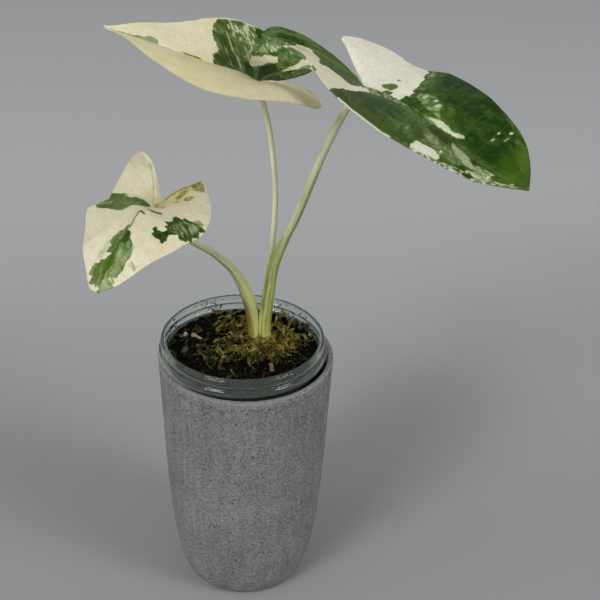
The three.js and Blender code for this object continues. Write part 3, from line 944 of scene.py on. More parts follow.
@dataclass
class PottingMix:
    """The soil in the cup, with a hole for the corm, loose crumbs and a few scraps."""

    ground: Ground
    finish: DarkSoil = field(default_factory=DarkSoil)
    hole_radius: float = 8.3 * MM
    hole_floor: float = 118.0 * MM
    foot: float = 25.3 * MM
    foot_radius: float = 29.3 * MM
    crumb_count: int = 700
    speck_count: int = 90
    speck_angles: tuple[int, ...] = (38, 118, 60, 165)
    speck_heights: tuple[float, float] = (140.5, 147.0)
    speck_distance: float = 38.6
    cup_slope: float = 0.1

    def build(self) -> None:
        """Builds and dresses the soil, which stands for its CAD node, and what lies on it."""
        material = self.finish.material()
        finish_piece(self.body(), material, "dark_soil", "potting_mix")
        finish_piece(self.crumbs(), material, "dark_soil")
        self.add_scraps()

    def body(self) -> Piece:
        """Returns the soil's closed body."""
        knots = np.array([0.0, 0.06, 0.12, 0.8, 0.88, 1.0])

        def place(u: Array, v: Array) -> Array:
            """Places the profile from the hole's floor over the top and down to the foot."""
            angle = TURN * u
            edge = self.ground.reach(angle)
            foot_edge = edge - (self.ground.edge - self.foot_radius)
            hole = np.full_like(angle, self.hole_radius)
            stations = [0 * hole, hole, hole, edge, foot_edge, 0 * hole]
            heights = [self.hole_floor, self.hole_floor, None, None, self.foot, self.foot]
            part = np.clip(np.searchsorted(knots, v, side="right") - 1, 0, 4)
            share = (v - knots[part]) / (knots[part + 1] - knots[part])

            def along(values: list[Array]) -> Array:
                """Returns the values between the profile's knots."""
                return np.choose(part, values[:5]) * (1 - share) + np.choose(part, values[1:]) * share

            radius = along(stations)
            x = self.ground.crown[0] + radius * np.cos(angle)
            y = self.ground.crown[1] + radius * np.sin(angle)
            top = self.ground.height(x, y)
            z = along([top if height is None else np.full_like(top, height) for height in heights])
            return np.column_stack([x, y, z])

        soil = sheet("soil_body", 220, 150, place)
        tidy_mesh(soil, 0.02 * MM)
        return soil

    def crumbs(self) -> Piece:
        """Returns loose crumbs over the soil, copied from one rough lump."""
        draw = np.random.default_rng(SEED)
        lump = added("soil_lump", bpy.ops.mesh.primitive_ico_sphere_add, subdivisions=2, radius=1.0)
        points = get_rows(lump)
        dent = layered_noise(points[:, 0] * 1.7 + points[:, 2], points[:, 1] * 1.7 - points[:, 2], SEED, 2)
        set_points(lump, points * (1 + 0.9 * dent)[:, None])
        apply_modifier(lump, "DECIMATE", ratio=0.6)
        places = []
        for _ in range(self.crumb_count):
            angle = draw.uniform(0, TURN)
            x, y = self.ground.from_cup(angle, self.ground.edge * math.sqrt(draw.uniform(0, 0.94)))
            size = draw.uniform(0.4, 1.25) ** 1.4 * MM
            spot = self.ground.spot(x, y) + Vector((0, 0, 0.25 * size))
            turn = Matrix.Rotation(draw.uniform(0, 6.28), 4, Vector(draw.normal(size=3)).normalized())
            scale = Matrix.Diagonal((size, size * draw.uniform(0.6, 1.0), size * draw.uniform(0.5, 0.9), 1))
            places.append(Matrix.Translation(spot) @ turn @ scale)
        return copies(lump, places + self.wall_specks(draw), "soil_crumbs")

    def wall_specks(self, draw: np.random.Generator) -> list[Matrix]:
        """Places specks of soil that stick to the cup's inner wall.

        Args:
            draw: the seeded random numbers.

        Returns:
            One matrix for each speck.
        """
        places = []
        for _ in range(self.speck_count):
            angle = math.radians(draw.choice(self.speck_angles) + draw.normal() * 11)
            height = draw.uniform(*self.speck_heights)
            far = (self.speck_distance + self.cup_slope * (height - self.speck_heights[0])) * MM
            spot = Vector((*self.ground.from_cup(angle, far), height * MM))
            places.append(Matrix.Translation(spot) @ Matrix.Scale(draw.uniform(0.16, 0.45) * MM, 4))
        return places

    def add_scraps(self) -> None:
        """Builds and dresses the few pale and brown scraps that lie on the soil."""
        pale = Flake("pale_scrap", (0.3, 0.2, 0.14), (0.62, 0.46, 0.38)).material()
        tan = Flake("tan_scrap", (0.26, 0.14, 0.06), (0.5, 0.32, 0.17)).material()
        rust = Flake("rust_scrap", (0.1, 0.045, 0.016), (0.34, 0.16, 0.06)).material()
        bark = Flake("bark_scrap", (0.02, 0.013, 0.008), (0.1, 0.06, 0.035)).material()
        chips = (
            ("pale_chip", pale, (-32.2, 12.6), (2.9, 1.7, 0.8), 20, 25),
            ("tan_chip", tan, (-27.2, 11.8), (2.6, 2.0, 1.0), -35, 40),
            ("tan_chip_tail", tan, (-25.2, 9.6), (4.4, 0.6, 0.5), -28, 5),
            ("rust_chip", rust, (13.0, -19.0), (1.8, 3.6, 0.9), 10, 30),
            ("bark_chip_right", bark, (30.0, 21.0), (5.5, 2.0, 1.2), 30, 20),
            ("bark_chip_back", bark, (25.0, 25.5), (4.5, 1.8, 1.2), -10, 25),
            ("pale_fleck_right", pale, (33.2, 12.5), (1.0, 2.2, 0.7), 8, 60),
            ("bark_chip_left", bark, (-31.0, -3.0), (3.8, 2.2, 1.2), 60, 15),
        )
        for index, (name, material, (x, y), size, turn, tilt) in enumerate(chips):
            chip = self.chip(name, size, index)
            place = Matrix.Translation(self.ground.spot(x * MM, y * MM) + Vector((0, 0, 0.9 * MM)))
            place @= Matrix.Rotation(math.radians(turn), 4, "Z") @ Matrix.Rotation(math.radians(tilt), 4, "X")
            chip.data.transform(place)
            finish_piece(chip, material, "golden_moss" if material is tan else "dark_soil")

    @staticmethod
    def chip(name: str, size: tuple[float, float, float], seed: int) -> Piece:
        """Makes a flat broken flake.

        Args:
            name: the piece's name.
            size: its length, width and thickness in millimetres.
            seed: picks its broken outline.

        Returns:
            The flake.
        """
        chip = added(name, bpy.ops.mesh.primitive_cube_add, size=1.0)
        edit(chip, lambda: bpy.ops.mesh.subdivide(number_cuts=7, smoothness=0.35))
        points = get_rows(chip) * np.array(size) * MM
        rough = layered_noise(points[:, 0] / (0.9 * MM) + seed, points[:, 1] / (0.9 * MM), SEED + seed, 3)
        points += get_rows(chip, "normal") * (rough * 0.9 * MM * min(1.0, size[2]))[:, None]
        points[:, 2] += 0.35 * MM * np.sin(points[:, 0] / MM * 1.3 + seed)
        set_points(chip, points)
        return chip


# The leaves


class Side(Enum):
    """Which half of a blade, as seen from its joint towards its tip."""

    LEFT = 1
    RIGHT = -1


class Strip(Enum):
    """Which part of a half: outside the lobe's vein, or in the sinus behind it."""

    OUTER = "outer"
    SINUS = "sinus"


class Layer(Enum):
    """What a patch changes: how green the blade is, or how yellow, olive brown or vivid."""

    TONE = "tone"
    HUE = "hue"
    OLIVE = "olive"
    LIME = "lime"


def rows(text: str) -> Array:
    """Reads rows of numbers, with commas within a row and spaces between rows."""
    return np.array([row.split(",") for row in text.split()], float)


@dataclass(frozen=True)
class Patch:
    """An area of colour on half a blade.

    Its corners are pairs in percent: the share along the midrib, then across the half. The share is
    100 at the tip, 0 at the joint and -100 at the lobe's tip, and across is 0 at the vein and 100 at
    the margin.
    """

    tone: float
    corners: str
    mottle: float = 0.0
    ragged: float = 1.0
    soft: float = 0.35

    def cover(self, share: Array, across: Array, scale: tuple[float, float],
              grain: tuple[Array, Array, Array]) -> Array:
        """Works out how far the patch covers each place.

        Args:
            share: shares along the midrib.
            across: shares across the half.
            scale: about how many millimetres a share along and a share across stand for.
            grain: broad, fine and streaky noise at the places.

        Returns:
            The cover, 0 to 1.
        """
        corners = rows(self.corners) / 100 * scale
        place = np.column_stack([share * scale[0], across * scale[1]])
        near = np.full(len(share), np.inf)
        inside = np.zeros(len(share), bool)
        for start, end in zip(corners, np.roll(corners, -1, axis=0)):
            side = end - start
            part = np.clip(((place - start) @ side) / max(side @ side, 1e-9), 0, 1)
            near = np.minimum(near, np.linalg.norm(place - start - part[:, None] * side, axis=1))
            rises = (start[1] > place[:, 1]) != (end[1] > place[:, 1])
            with np.errstate(divide="ignore", invalid="ignore"):
                crossing = start[0] + side[0] * (place[:, 1] - start[1]) / side[1]
            inside ^= rises & (place[:, 0] < crossing)
        depth = np.where(inside, near, -near) + self.ragged * (1.6 * grain[0] + 0.9 * grain[1])
        cover = smoothstep(-self.soft, self.soft, depth)
        return cover * (1 - self.mottle * smoothstep(-0.05, 0.05, grain[2] + 0.6 * grain[1] + 0.03))


def streak(tone: float, share: float, start: float, stop: float, width: float = 1.6) -> Patch:
    """Makes a thin patch along one side vein.

    Args:
        tone: how green it is.
        share: the vein's share, in percent like the next three.
        start: where it starts across the half.
        stop: where it ends.
        width: its width, of the midrib's length.

    Returns:
        The patch.
    """
    middle, swing = (start + stop) / 2, (stop - start) * 0.3
    corners = (f"{share - width / 2},{start} {share + width * 0.3},{middle - swing} "
               f"{share + width / 2},{stop} {share - width * 0.3},{middle + swing}")
    return Patch(tone, corners, ragged=0.25, soft=0.25)


@dataclass(frozen=True)
class HalfOutline:
    """Half a blade's outline in millimetres.

    vein is the middle of the lobe's own vein. Each margin row is (along, across, rise) from the joint,
    the share of the side vein that ends there, and how far that vein arches over its chord.
    """

    vein: Sequence[float]
    margin: Array


class HalfSurface:
    """The curved sheet of half a blade, swept by its side veins."""

    def __init__(self, outline: HalfOutline, place: Callable[[Array], Array], midrib: SmoothPath) -> None:
        """Prepares the curves that the side veins run between.

        Args:
            outline: the half's outline.
            place: moves local rows to the frame.
            midrib: the blade's midrib.
        """
        margin = outline.margin
        self.shares = margin[:, 3]
        self.margin = SmoothPath(place(margin[:, :3]))
        self.arches = SmoothPath(np.column_stack([margin[:, 4], 1e-6 * np.arange(len(margin))]))
        self.lobe = int(np.argmin(self.shares))
        self.midrib = midrib
        self.joint = midrib.even(np.zeros(1))[0]
        self.tip = place(margin[self.lobe:self.lobe + 1, :3])[0]
        self.pull = 2 * place(np.asarray([outline.vein], float))[0] - (self.joint + self.tip) / 2

    def root(self, share: Array) -> Array:
        """Returns where side veins leave the midrib, or the lobe's vein for negative shares."""
        back = np.clip(-share, 0, 1)[:, None]
        lobe = self.joint * (1 - back)**2 + self.pull * 2 * back * (1 - back) + self.tip * back**2
        return np.where(share[:, None] >= 0, self.midrib.even(np.clip(share, 0, 1)), lobe)

    def points(self, share: Array, across: Array, strip: Strip) -> Array:
        """Returns points on the sheet.

        Args:
            share: which side vein.
            across: how far along it.
            strip: which part of the half.

        Returns:
            One row for each point.
        """
        count = len(self.shares) - 1
        if strip is Strip.SINUS:
            spot = np.interp(share, self.shares[self.lobe:], np.arange(self.lobe, count + 1) / count)
        else:
            spot = np.interp(-share, -self.shares[:self.lobe + 1], np.arange(self.lobe + 1) / count)
        root = self.root(share)
        chord = self.margin.at(spot) - root
        length = np.linalg.norm(chord, axis=1)[:, None]
        unit = chord / np.maximum(length, 1e-9)
        rise = UP - unit * unit[:, 2:]
        rise /= np.maximum(np.linalg.norm(rise, axis=1)[:, None], 1e-9)
        arch = self.arches.at(spot)[:, :1] * length
        v = across[:, None]
        return root + chord * v + rise * arch * 4 * v * (1 - v)


@dataclass(frozen=True)
class Shape:
    """One leaf's lines in millimetres, in its joint's axes but for the stalk's path."""

    joint: Sequence[float]
    heading: float
    midrib: Array
    left: HalfOutline
    right: HalfOutline
    stalk: Array


@dataclass
class LeafBlade:
    """An arrow-shaped blade on its stalk's joint, pointing along its heading.

    The midrib's rows are (along, across, rise) from the joint, in millimetres, and across is positive
    to the left of the heading. Widths of veins and ribs are in millimetres too.
    """

    name: str
    shape: Shape
    paint: dict[tuple[Side, Strip, Layer], tuple[Patch, ...]]
    finish: LeafSkin
    slot: str
    seed: int
    hue: tuple[float, float]
    front_columns: int = 190
    lobe_columns: int = 90
    outer_rows: int = 52
    sinus_rows: int = 22
    veins: Sequence[float] = (0.9, 0.79, 0.67, 0.55, 0.43, 0.31, 0.19, 0.08, -0.1, -0.28, -0.46, -0.64, -0.82)
    vein_width: float = 0.45
    vein_spacing: float = 0.12
    edge: float = 0.45 * MM
    blade: float = 0.7 * MM
    rib: float = 1.9 * MM
    rib_width: float = 1.3
    joint_width: float = 2.4
    groove: float = 0.07 * MM
    swell: float = 0.12 * MM
    channel: float = 0.3 * MM
    channel_width: float = 0.8
    ripple: float = 0.25 * MM
    easing: int = 90
    paint_scale: tuple[float, float] = (70.0, 36.0)

    def place(self, local: Array) -> Array:
        """Moves rows of points to the frame.

        Args:
            local: (along, across, rise) in millimetres.

        Returns:
            The points in metres.
        """
        forward = planar(math.radians(self.shape.heading))
        leftward = np.array([-forward[1], forward[0], 0.0])
        moved = local[:, :1] * forward + local[:, 1:2] * leftward + local[:, 2:3] * UP
        return (moved + np.asarray(self.shape.joint, float)) * MM

    def build(self) -> None:
        """Builds and dresses the blade, which stands for its CAD node."""
        midrib = SmoothPath(self.place(self.shape.midrib))
        sheets = []
        for side, outline in ((Side.LEFT, self.shape.left), (Side.RIGHT, self.shape.right)):
            half = HalfSurface(outline, self.place, midrib)
            sheets += [self.strip_sheet(half, side, strip) for strip in Strip]
        blade = join_pieces(sheets, f"{self.name}_blade_skin")
        tidy_mesh(blade, 0.004 * MM)
        face_up(blade)
        self.weigh(blade, "ease", 20)
        apply_modifier(blade, "SMOOTH", factor=0.5, iterations=self.easing, vertex_group="ease")
        lift = get_values(blade, "relief") * MM + self.blade / 2
        set_points(blade, get_rows(blade) + get_rows(blade, "normal") * lift[:, None])
        self.thicken(blade)
        finish_piece(blade, self.finish.material(), self.slot, f"{self.name}_leaf_blade", angle=50.0)

    def strip_sheet(self, half: HalfSurface, side: Side, strip: Strip) -> Piece:
        """Adds one strip of a half, with its colours and relief as attributes.

        Args:
            half: the half's surface.
            side: which half it is.
            strip: which part of it.

        Returns:
            The strip.
        """
        outer = strip is Strip.OUTER
        front = self.front_columns if outer else 0
        columns = front + self.lobe_columns
        edge = front / columns

        def share_at(u: Array) -> Array:
            """Returns the side vein's share for places across the sheet."""
            return np.where(u <= edge, 1 - u / edge, -(u - edge) / (1 - edge)) if outer else u - 1

        def place(u: Array, v: Array) -> Array:
            """Places points on the strip."""
            return half.points(np.round(share_at(u), 9), v, strip)

        def values(u: Array, v: Array) -> dict[str, Array]:
            """Returns the strip's colours and relief."""
            share = share_at(u)
            return self.colours(share, v, side, strip) | self.forms(half, share, v, strip)

        along_vein = self.outer_rows if outer else self.sinus_rows
        return sheet(f"{self.name}_{side.name}_{strip.name}", columns, along_vein, place, values)

    def colours(self, share: Array, across: Array, side: Side, strip: Strip) -> dict[str, Array]:
        """Lays the patches over each other in order, on every layer.

        Args:
            share: which side vein.
            across: how far along it.
            side: the half.
            strip: the part of it.

        Returns:
            Each layer's values.
        """
        seed = self.seed + 10 * side.value + 100 * (strip is Strip.SINUS)
        along, out = share * self.paint_scale[0], across * self.paint_scale[1]
        broad = layered_noise(along / 5.0 - 0.05 * out, out / 4.0, seed, 2)
        fine = layered_noise(along / 1.5 - 0.1 * out, out / 1.9, seed + 5, 3)
        streaky = layered_noise(along / 0.9 - 0.3 * out, out / 2.6, seed + 8, 2)
        sector = layered_noise(along / 7.0 - 0.1 * out, out / 8.0, seed + 11, 3)
        layers = {}
        for layer in Layer:
            value = self.hue[side is Side.RIGHT] + 0.3 * broad if layer is Layer.HUE else 0 * share
            for patch in self.paint.get((side, strip, layer), ()):
                cover = patch.cover(share, across, self.paint_scale, (broad, fine, streaky))
                value = value * (1 - cover) + patch.tone * cover
            layers[layer.value] = value
        tone = layers["tone"]
        blotch = 0.12 * (smoothstep(-0.05, 0.05, sector) - 0.5) + 0.2 * streaky + 0.12 * fine
        layers["tone"] = np.clip(tone + blotch * smoothstep(0.15, 0.5, tone), 0, 1)
        return layers

    def forms(self, half: HalfSurface, share: Array, across: Array, strip: Strip) -> dict[str, Array]:
        """Works out the relief in mm, how near a side vein is, the rib's share and the smoothing.

        Args:
            half: the half's surface.
            share: which side vein.
            across: how far along it.
            strip: the part of the half.

        Returns:
            The values of relief, vein, rib and ease.
        """
        step = 0.003
        here = half.points(share, across, strip)
        pace = np.linalg.norm(half.points(share - step, across, strip) - here, axis=1) / step / MM
        off_joint = np.linalg.norm(here - half.joint, axis=1) / MM
        chord = half.points(share, 0 * across + 1, strip) - half.root(share)
        out = np.linalg.norm(chord, axis=1) * across / MM
        gap = np.min(np.abs(share[:, None] - np.asarray(self.veins)), axis=1)
        reach = smoothstep(0.0, 0.05, across) * (1 - smoothstep(0.8, 0.97, across))
        near = bump(gap * pace, self.vein_width) * reach
        pillow = np.sin(np.pi * np.clip(gap / self.vein_spacing * 2, 0, 1) / 2) ** 2 * reach
        relief = self.swell * (pillow - 0.6) - self.groove * near
        relief = relief * (0.3 + 0.7 * smoothstep(-0.35, 0.0, share))
        sunk = smoothstep(1.0, 0.9, share) * (0.2 + 0.8 * smoothstep(-0.25, 0.0, share))
        relief = relief - self.channel * bump(out, self.channel_width) * sunk
        ripple = layered_noise(share * 22, across * 3, self.seed + 3, 2)
        relief = relief + self.ripple * ripple * smoothstep(0.2, 1.0, across)
        depth = np.sqrt(np.clip(1 - np.abs(share), 0, 1))
        middle = bump(out, self.rib_width) * depth * (0.65 if strip is Strip.SINUS else 1.0)
        middle = middle * (0.4 + 0.6 * smoothstep(-0.3, 0.0, share))
        middle = np.maximum(middle, np.exp(-(off_joint / self.joint_width)**4))
        thin = smoothstep(0.93, 1.0, across)
        wall = self.blade - (self.blade - self.edge) * thin + (self.rib - self.blade) * middle
        flat = self.edge / self.rib
        ease = smoothstep(0.97, 0.75, across) * smoothstep(0.3, 0.0, share) * smoothstep(2, 8, off_joint)
        return {"relief": relief / MM, "vein": near * smoothstep(0, 1.5, out),
                "ease": ease * smoothstep(-1.0, -0.95, share), "rib": (wall / self.rib - flat) / (1 - flat)}

    @staticmethod
    def weigh(blade: Piece, name: str, steps: int) -> None:
        """Makes a vertex group from an attribute.

        Args:
            blade: the blade.
            name: the attribute's name and the group's.
            steps: how many steps the weights are rounded to.
        """
        group = blade.vertex_groups.new(name=name)
        weights = np.round(np.clip(get_values(blade, name), 0, 1) * steps).astype(int)
        for step in range(steps + 1):
            group.add(np.flatnonzero(weights == step).tolist(), step / steps, "REPLACE")

    def thicken(self, blade: Piece) -> None:
        """Gives the skin its thickness, deeper along the ribs, and marks its underside."""
        self.weigh(blade, "rib", 60)
        upper = len(blade.data.vertices)
        apply_modifier(blade, "SOLIDIFY", thickness=self.rib, offset=-1.0, vertex_group="rib",
                       thickness_vertex_group=self.edge / self.rib)
        set_values(blade, "under", (np.arange(len(blade.data.vertices)) >= upper).astype(np.float32))


@dataclass(frozen=True)
class Stripe:
    """A stripe along a stalk, on the side that faces one way."""

    facing: tuple[float, float, float]
    low: float
    high: float
    tone: float
    brown: float
    width: float


@dataclass
class LeafStalk:
    """A leaf stalk from the crown to its blade: a grooved sheath below, and a slim stalk above.

    widths are (share of the length, radius in millimetres) pairs, and tone (height, tone) pairs.
    """

    name: str
    shape: Shape
    widths: Points
    tone: Points
    finish: StalkSkin
    slot: str
    stripes: Sequence[Stripe] = ()
    warm: tuple[float, float] = (150.0, 215.0)
    groove_facing: float | None = None
    groove_top: float = 0.5
    groove_width: float = 0.3
    lip_place: float = 0.62
    lip_width: float = 0.14
    gap: float = 0.9
    sides: int = 72
    rows: int = 240

    def build(self) -> None:
        """Builds and dresses the stalk, which stands for its CAD node."""
        path, end = self.shape.stalk, np.asarray(self.shape.joint, float)
        approach = (end - path[-1]) / np.linalg.norm(end - path[-1])
        curve = SmoothPath(np.vstack([path, end - approach * self.gap]) * MM)

        def values(angle: Array, share: Array) -> dict[str, Array]:
            """Returns the stalk's own coordinates for its finish."""
            along = share * curve.length / MM
            return {"skin": np.column_stack([np.cos(angle), np.sin(angle), along])}

        stalk = tube(f"{self.name}_stalk_skin", self.sides, self.rows, curve, self.section, values)
        self.colour(stalk)
        finish_piece(stalk, self.finish.material(), self.slot, f"{self.name}_leaf_stalk")

    def section(self, angle: Array, share: Array) -> tuple[Array, Array]:
        """Works out the offsets of the stalk's ribbed and grooved skin.

        Args:
            angle: angles round the stalk.
            share: shares of its length.

        Returns:
            The offsets across and back.
        """
        size = np.interp(share, *zip(*self.widths)) * (1 - 0.35 * smoothstep(0.988, 1.0, share)) * MM
        ribs = 1 + 0.012 * np.sin(9 * angle + 2) + 0.008 * np.sin(17 * angle + 5 * share)
        if self.groove_facing is not None:
            turn = (angle - math.radians(self.groove_facing) + np.pi) % TURN - np.pi
            fade = 1 - smoothstep(self.groove_top * 0.75, self.groove_top, share)
            lips = bump(turn - self.lip_place, self.lip_width) + bump(turn + self.lip_place, self.lip_width)
            ribs = ribs - 0.34 * bump(turn, self.groove_width) * fade + 0.26 * lips * fade
        return disc(size * ribs, angle)

    def colour(self, stalk: Piece) -> None:
        """Stores the tone, brown and warmth of each vertex, from the heights and the stripes.

        Args:
            stalk: the stalk's mesh.
        """
        normals = get_rows(stalk, "normal")
        height = get_rows(stalk)[:, 2] / MM
        tone = np.interp(height, *zip(*self.tone))
        brown = 0 * height
        for stripe in self.stripes:
            facing = normals @ (np.asarray(stripe.facing) / np.linalg.norm(stripe.facing))
            cover = smoothstep(1 - 2 * stripe.width, 1 - stripe.width, facing)
            cover = cover * smoothstep(stripe.low - 4, stripe.low + 4, height)
            cover = cover * smoothstep(stripe.high + 4, stripe.high - 4, height)
            tone = tone + cover * stripe.tone
            brown = brown + cover * stripe.brown
        set_values(stalk, "tone", tone)
        set_values(stalk, "brown", brown)
        set_values(stalk, "warm", smoothstep(self.warm[1], self.warm[0], height))


# The moss and the corm


@dataclass
class MossStrand:
    """One creeping strand of moss along +X: a wavy stem under two rows of overlapping leaves."""

    length: float
    curl: float
    seed: int
    leaves: int = 22
    leaf_length: float = 1.25 * MM
    leaf_width: float = 0.3 * MM
    stem: float = 0.16 * MM
    stem_tip: float = 0.12

    def build(self) -> Piece:
        """Returns the strand, of a few dozen faces."""
        draw = np.random.default_rng(self.seed)
        t = np.linspace(0, 1, 6)
        turn = self.curl * t
        rise = 0.9 * MM * np.sin(np.pi * t * draw.uniform(0.8, 1.9)) + 0.5 * MM * t
        path = SmoothPath(np.column_stack([*disc(self.length * t, turn), rise]))
        pieces = [tube("moss_stem", 3, 4, path, lambda angle, share: disc(self.stem * (1.15 - share), angle),
                       lambda angle, share: {"tip": 0 * share + self.stem_tip})]
        for index in range(self.leaves):
            share = np.array([(index + 0.5) / self.leaves])
            ahead = path.heading(share)[0]
            beside = np.cross(UP, ahead) * (1 if index % 2 else -1)
            lift = draw.uniform(0.1, 0.9)
            out = ahead * 0.75 + beside * draw.uniform(0.45, 0.85) + lift * UP
            out *= self.leaf_length / np.linalg.norm(out) * draw.uniform(0.7, 1.1) * (1.1 - 0.4 * share[0])
            wide = np.cross(out, UP + 0.5 * beside)
            wide *= self.leaf_width / np.linalg.norm(wide)
            pieces.append(self.leaflet(path.even(share)[0], out, wide))
        return join_pieces(pieces, "moss_strand")

    @staticmethod
    def leaflet(root: Array, out: Array, wide: Array) -> Piece:
        """Makes one pointed leaf, two faces long.

        Args:
            root: where it starts.
            out: from its start to its tip.
            wide: half its width.

        Returns:
            The leaf.
        """
        def place(u: Array, v: Array) -> Array:
            """Places the leaf's corners."""
            spread = ((u - 0.5) * 2 * np.interp(v, (0, 0.5, 1), (0.45, 1.0, 0.08)))[:, None]
            return root + out * v[:, None] + wide * spread - 0.25 * MM * UP * v[:, None]**2

        return sheet("moss_leaf", 1, 2, place, lambda u, v: {"tip": 0.25 + 0.85 * v})


def strew(places: Points, name: str, seed: int, size: tuple[float, float]) -> Piece:
    """Lays moss strands at places, copied from six.

    Args:
        places: (x, y, z) of each.
        name: the joined piece's name.
        seed: picks how they lie.
        size: the smallest and largest scale.

    Returns:
        The joined piece.
    """
    draw = np.random.default_rng(seed)
    kinds = ((4.5, 0.6), (6.0, -0.9), (7.5, 1.3), (5.0, -1.6), (6.5, 2.0), (3.5, 0.2))
    joined = []
    for kind, (length, curl) in enumerate(kinds):
        matrices = []
        for x, y, z in places[kind::len(kinds)]:
            turn = Matrix.Rotation(draw.uniform(0, TURN), 4, "Z")
            lean = Matrix.Rotation(math.radians(draw.uniform(-38, 8)), 4, "Y")
            roll = Matrix.Rotation(math.radians(draw.uniform(-40, 40)), 4, "X")
            place = Matrix.Translation((x, y, z + draw.uniform(-0.3, 0.3) * MM))
            matrices.append(place @ turn @ lean @ roll @ Matrix.Scale(draw.uniform(*size), 4))
        joined.append(copies(MossStrand(length * MM, curl, seed + kind).build(), matrices, f"{name}_{kind}"))
    return join_pieces(joined, name)


@dataclass(frozen=True)
class MossArm:
    """A tongue of moss that reaches further than the bed's edge, at an angle in degrees."""

    angle: float
    length: float
    spread: float


@dataclass
class MossBed:
    """A bed of moss on a sector of the soil: a tufted mat under many creeping strands.

    start and stop are in degrees, inner, reach and depth in millimetres.
    """

    name: str
    ground: Ground
    start: float
    stop: float
    inner: float
    reach: float
    arms: Sequence[MossArm]
    depth: float
    strands: int
    seed: int
    material: Material
    collar: float = -0.32
    heap: float = 6 * MM

    def edge(self, degrees: Array) -> Array:
        """Works out how far the moss reaches from the crown, in millimetres.

        Args:
            degrees: angles from +X.

        Returns:
            One distance for each angle.
        """
        far = self.reach + np.sin(0.31 * degrees) * np.cos(0.13 * degrees + 1)
        for arm in self.arms:
            far = far + arm.length * bump(degrees - arm.angle, arm.spread)
        return np.minimum(far, self.ground.reach(np.radians(degrees)) / MM - 1.5)

    def spot(self, turn: Array, ring: Array) -> tuple[Array, Array]:
        """Returns places in metres for shares of the sector and of the reach."""
        degrees = self.start + (self.stop - self.start) * turn
        far = (self.inner + (self.edge(degrees) - self.inner) * ring) * MM
        across, back = disc(far, np.radians(degrees))
        return self.ground.crown[0] + across, self.ground.crown[1] + back

    def top(self, turn: Array, ring: Array) -> Array:
        """Places points on the mat's top.

        Args:
            turn: shares of the sector.
            ring: shares of the reach.

        Returns:
            One row for each point.
        """
        x, y = self.spot(turn, ring)
        rim = np.minimum(np.minimum(turn, 1 - turn) * 8, np.minimum(ring + 0.3, 1 - ring) * 4)
        u, v = x / MM, y / MM
        tuft = 0.3 + 0.7 * np.abs(np.sin(1.05 * u + 0.4 * v) * np.cos(0.9 * v - 0.5 * u))
        frill = 1 + 1.1 * layered_noise(u / 1.4, v / 1.4, self.seed, 3)
        heap = 0.2 + self.depth * 0.55 * tuft * frill * smoothstep(0, 1, rim)
        return np.column_stack([x, y, self.ground.height(x, y) + heap * MM])

    def build(self) -> None:
        """Builds and dresses the mat, which stands for its CAD node, and its strands."""
        def values(turn: Array, ring: Array) -> dict[str, Array]:
            """Returns how bright the mat is: near black as painted shade between the strands, but for its
            crests.
            """
            x, y = self.spot(turn, ring)
            return {"tip": 0.05 * np.clip(layered_noise(x / (1.4 * MM), y / (1.4 * MM), self.seed, 3), 0, 1)}

        mat = sheet(f"{self.name}_mat", 150, 50, self.top, values)
        face_up(mat)
        apply_modifier(mat, "SOLIDIFY", thickness=0.9 * MM, offset=-1.0)
        finish_piece(mat, self.material, "golden_moss", self.name)
        draw = np.random.default_rng(self.seed)
        places = []
        while len(places) < self.strands:
            turn, ring = draw.uniform(0.0, 1.0), draw.uniform(self.collar, 1.03)
            x, y, z = self.top(np.array([turn]), np.array([ring]))[0]
            if spot_noise(x, y, 3.2 * MM, self.seed + 9) >= draw.uniform(-0.3, 0.12):
                places.append((x, y, z + max(0.0, 0.15 - ring) * self.heap))
        strands = strew(places, f"{self.name}_strands", self.seed, (0.8, 1.25))
        finish_piece(strands, self.material, "golden_moss")


@dataclass
class SoilGrowth:
    """What grows on the rest of the soil: dark moss strands, and loops of golden moss by the wall.

    Each loop has its place, width and height in millimetres, and its turn in degrees.
    """

    ground: Ground
    dark_count: int = 300
    wall_count: int = 7
    loops: Points = (
        (20, 27, 4.0, 5.5, 10), (16, 24, 3.2, 4.6, 70), (24, 22, 3.6, 3.6, -30), (19, 31, 3.0, 4.0, 40),
    )

    def build(self, golden: Material, dark: Material) -> None:
        """Builds and dresses it.

        Args:
            golden: the loops' material.
            dark: the strands' material.
        """
        draw = np.random.default_rng(SEED + 60)
        places = []
        while len(places) < self.dark_count:
            angle = draw.uniform(0, TURN)
            x, y = self.ground.from_cup(angle, (self.ground.edge - 2 * MM) * math.sqrt(draw.uniform(0, 1)))
            if spot_noise(x, y, 5 * MM, SEED + 61) >= -0.05:
                places.append(self.ground.spot(x, y))
        for k in range(self.wall_count):
            places.append(((-17.5 + 0.7 * k) * MM, (34.5 - 0.4 * k) * MM, (142 + k % 3) * MM))
        finish_piece(strew(places, "dark_moss_strands", SEED + 62, (0.5, 0.95)), dark, "golden_moss")
        made = [self.loop(f"moss_loop_{index}", *row) for index, row in enumerate(self.loops)]
        finish_piece(join_pieces(made, "moss_loops"), golden, "golden_moss")

    def loop(self, name: str, x: float, y: float, wide: float, high: float, turn: float) -> Piece:
        """Makes one looping strand, knotted with leaf bases.

        Args:
            name: the piece's name.
            x: its place along X, in millimetres like the next three.
            y: its place along Y.
            wide: its width.
            high: its height.
            turn: the way it faces, in degrees.

        Returns:
            The loop.
        """
        ahead = planar(math.radians(turn))
        spot = np.array(self.ground.spot(x * MM, y * MM))
        rows = [spot + (ahead * wide * math.cos(angle) / 2 + high * math.sin(angle) * UP) * MM
                for angle in np.linspace(-0.5, math.pi + 0.6, 9)]

        def section(angle: Array, share: Array) -> tuple[Array, Array]:
            """Returns the strand's offsets."""
            return disc((0.42 + 0.14 * np.sin(60 * share + 3 * np.cos(angle))) * MM, angle)

        return tube(name, 10, 90, SmoothPath(np.array(rows)), section,
                    lambda angle, share: {"tip": 0.9 + 0.4 * np.sin(60 * share)})


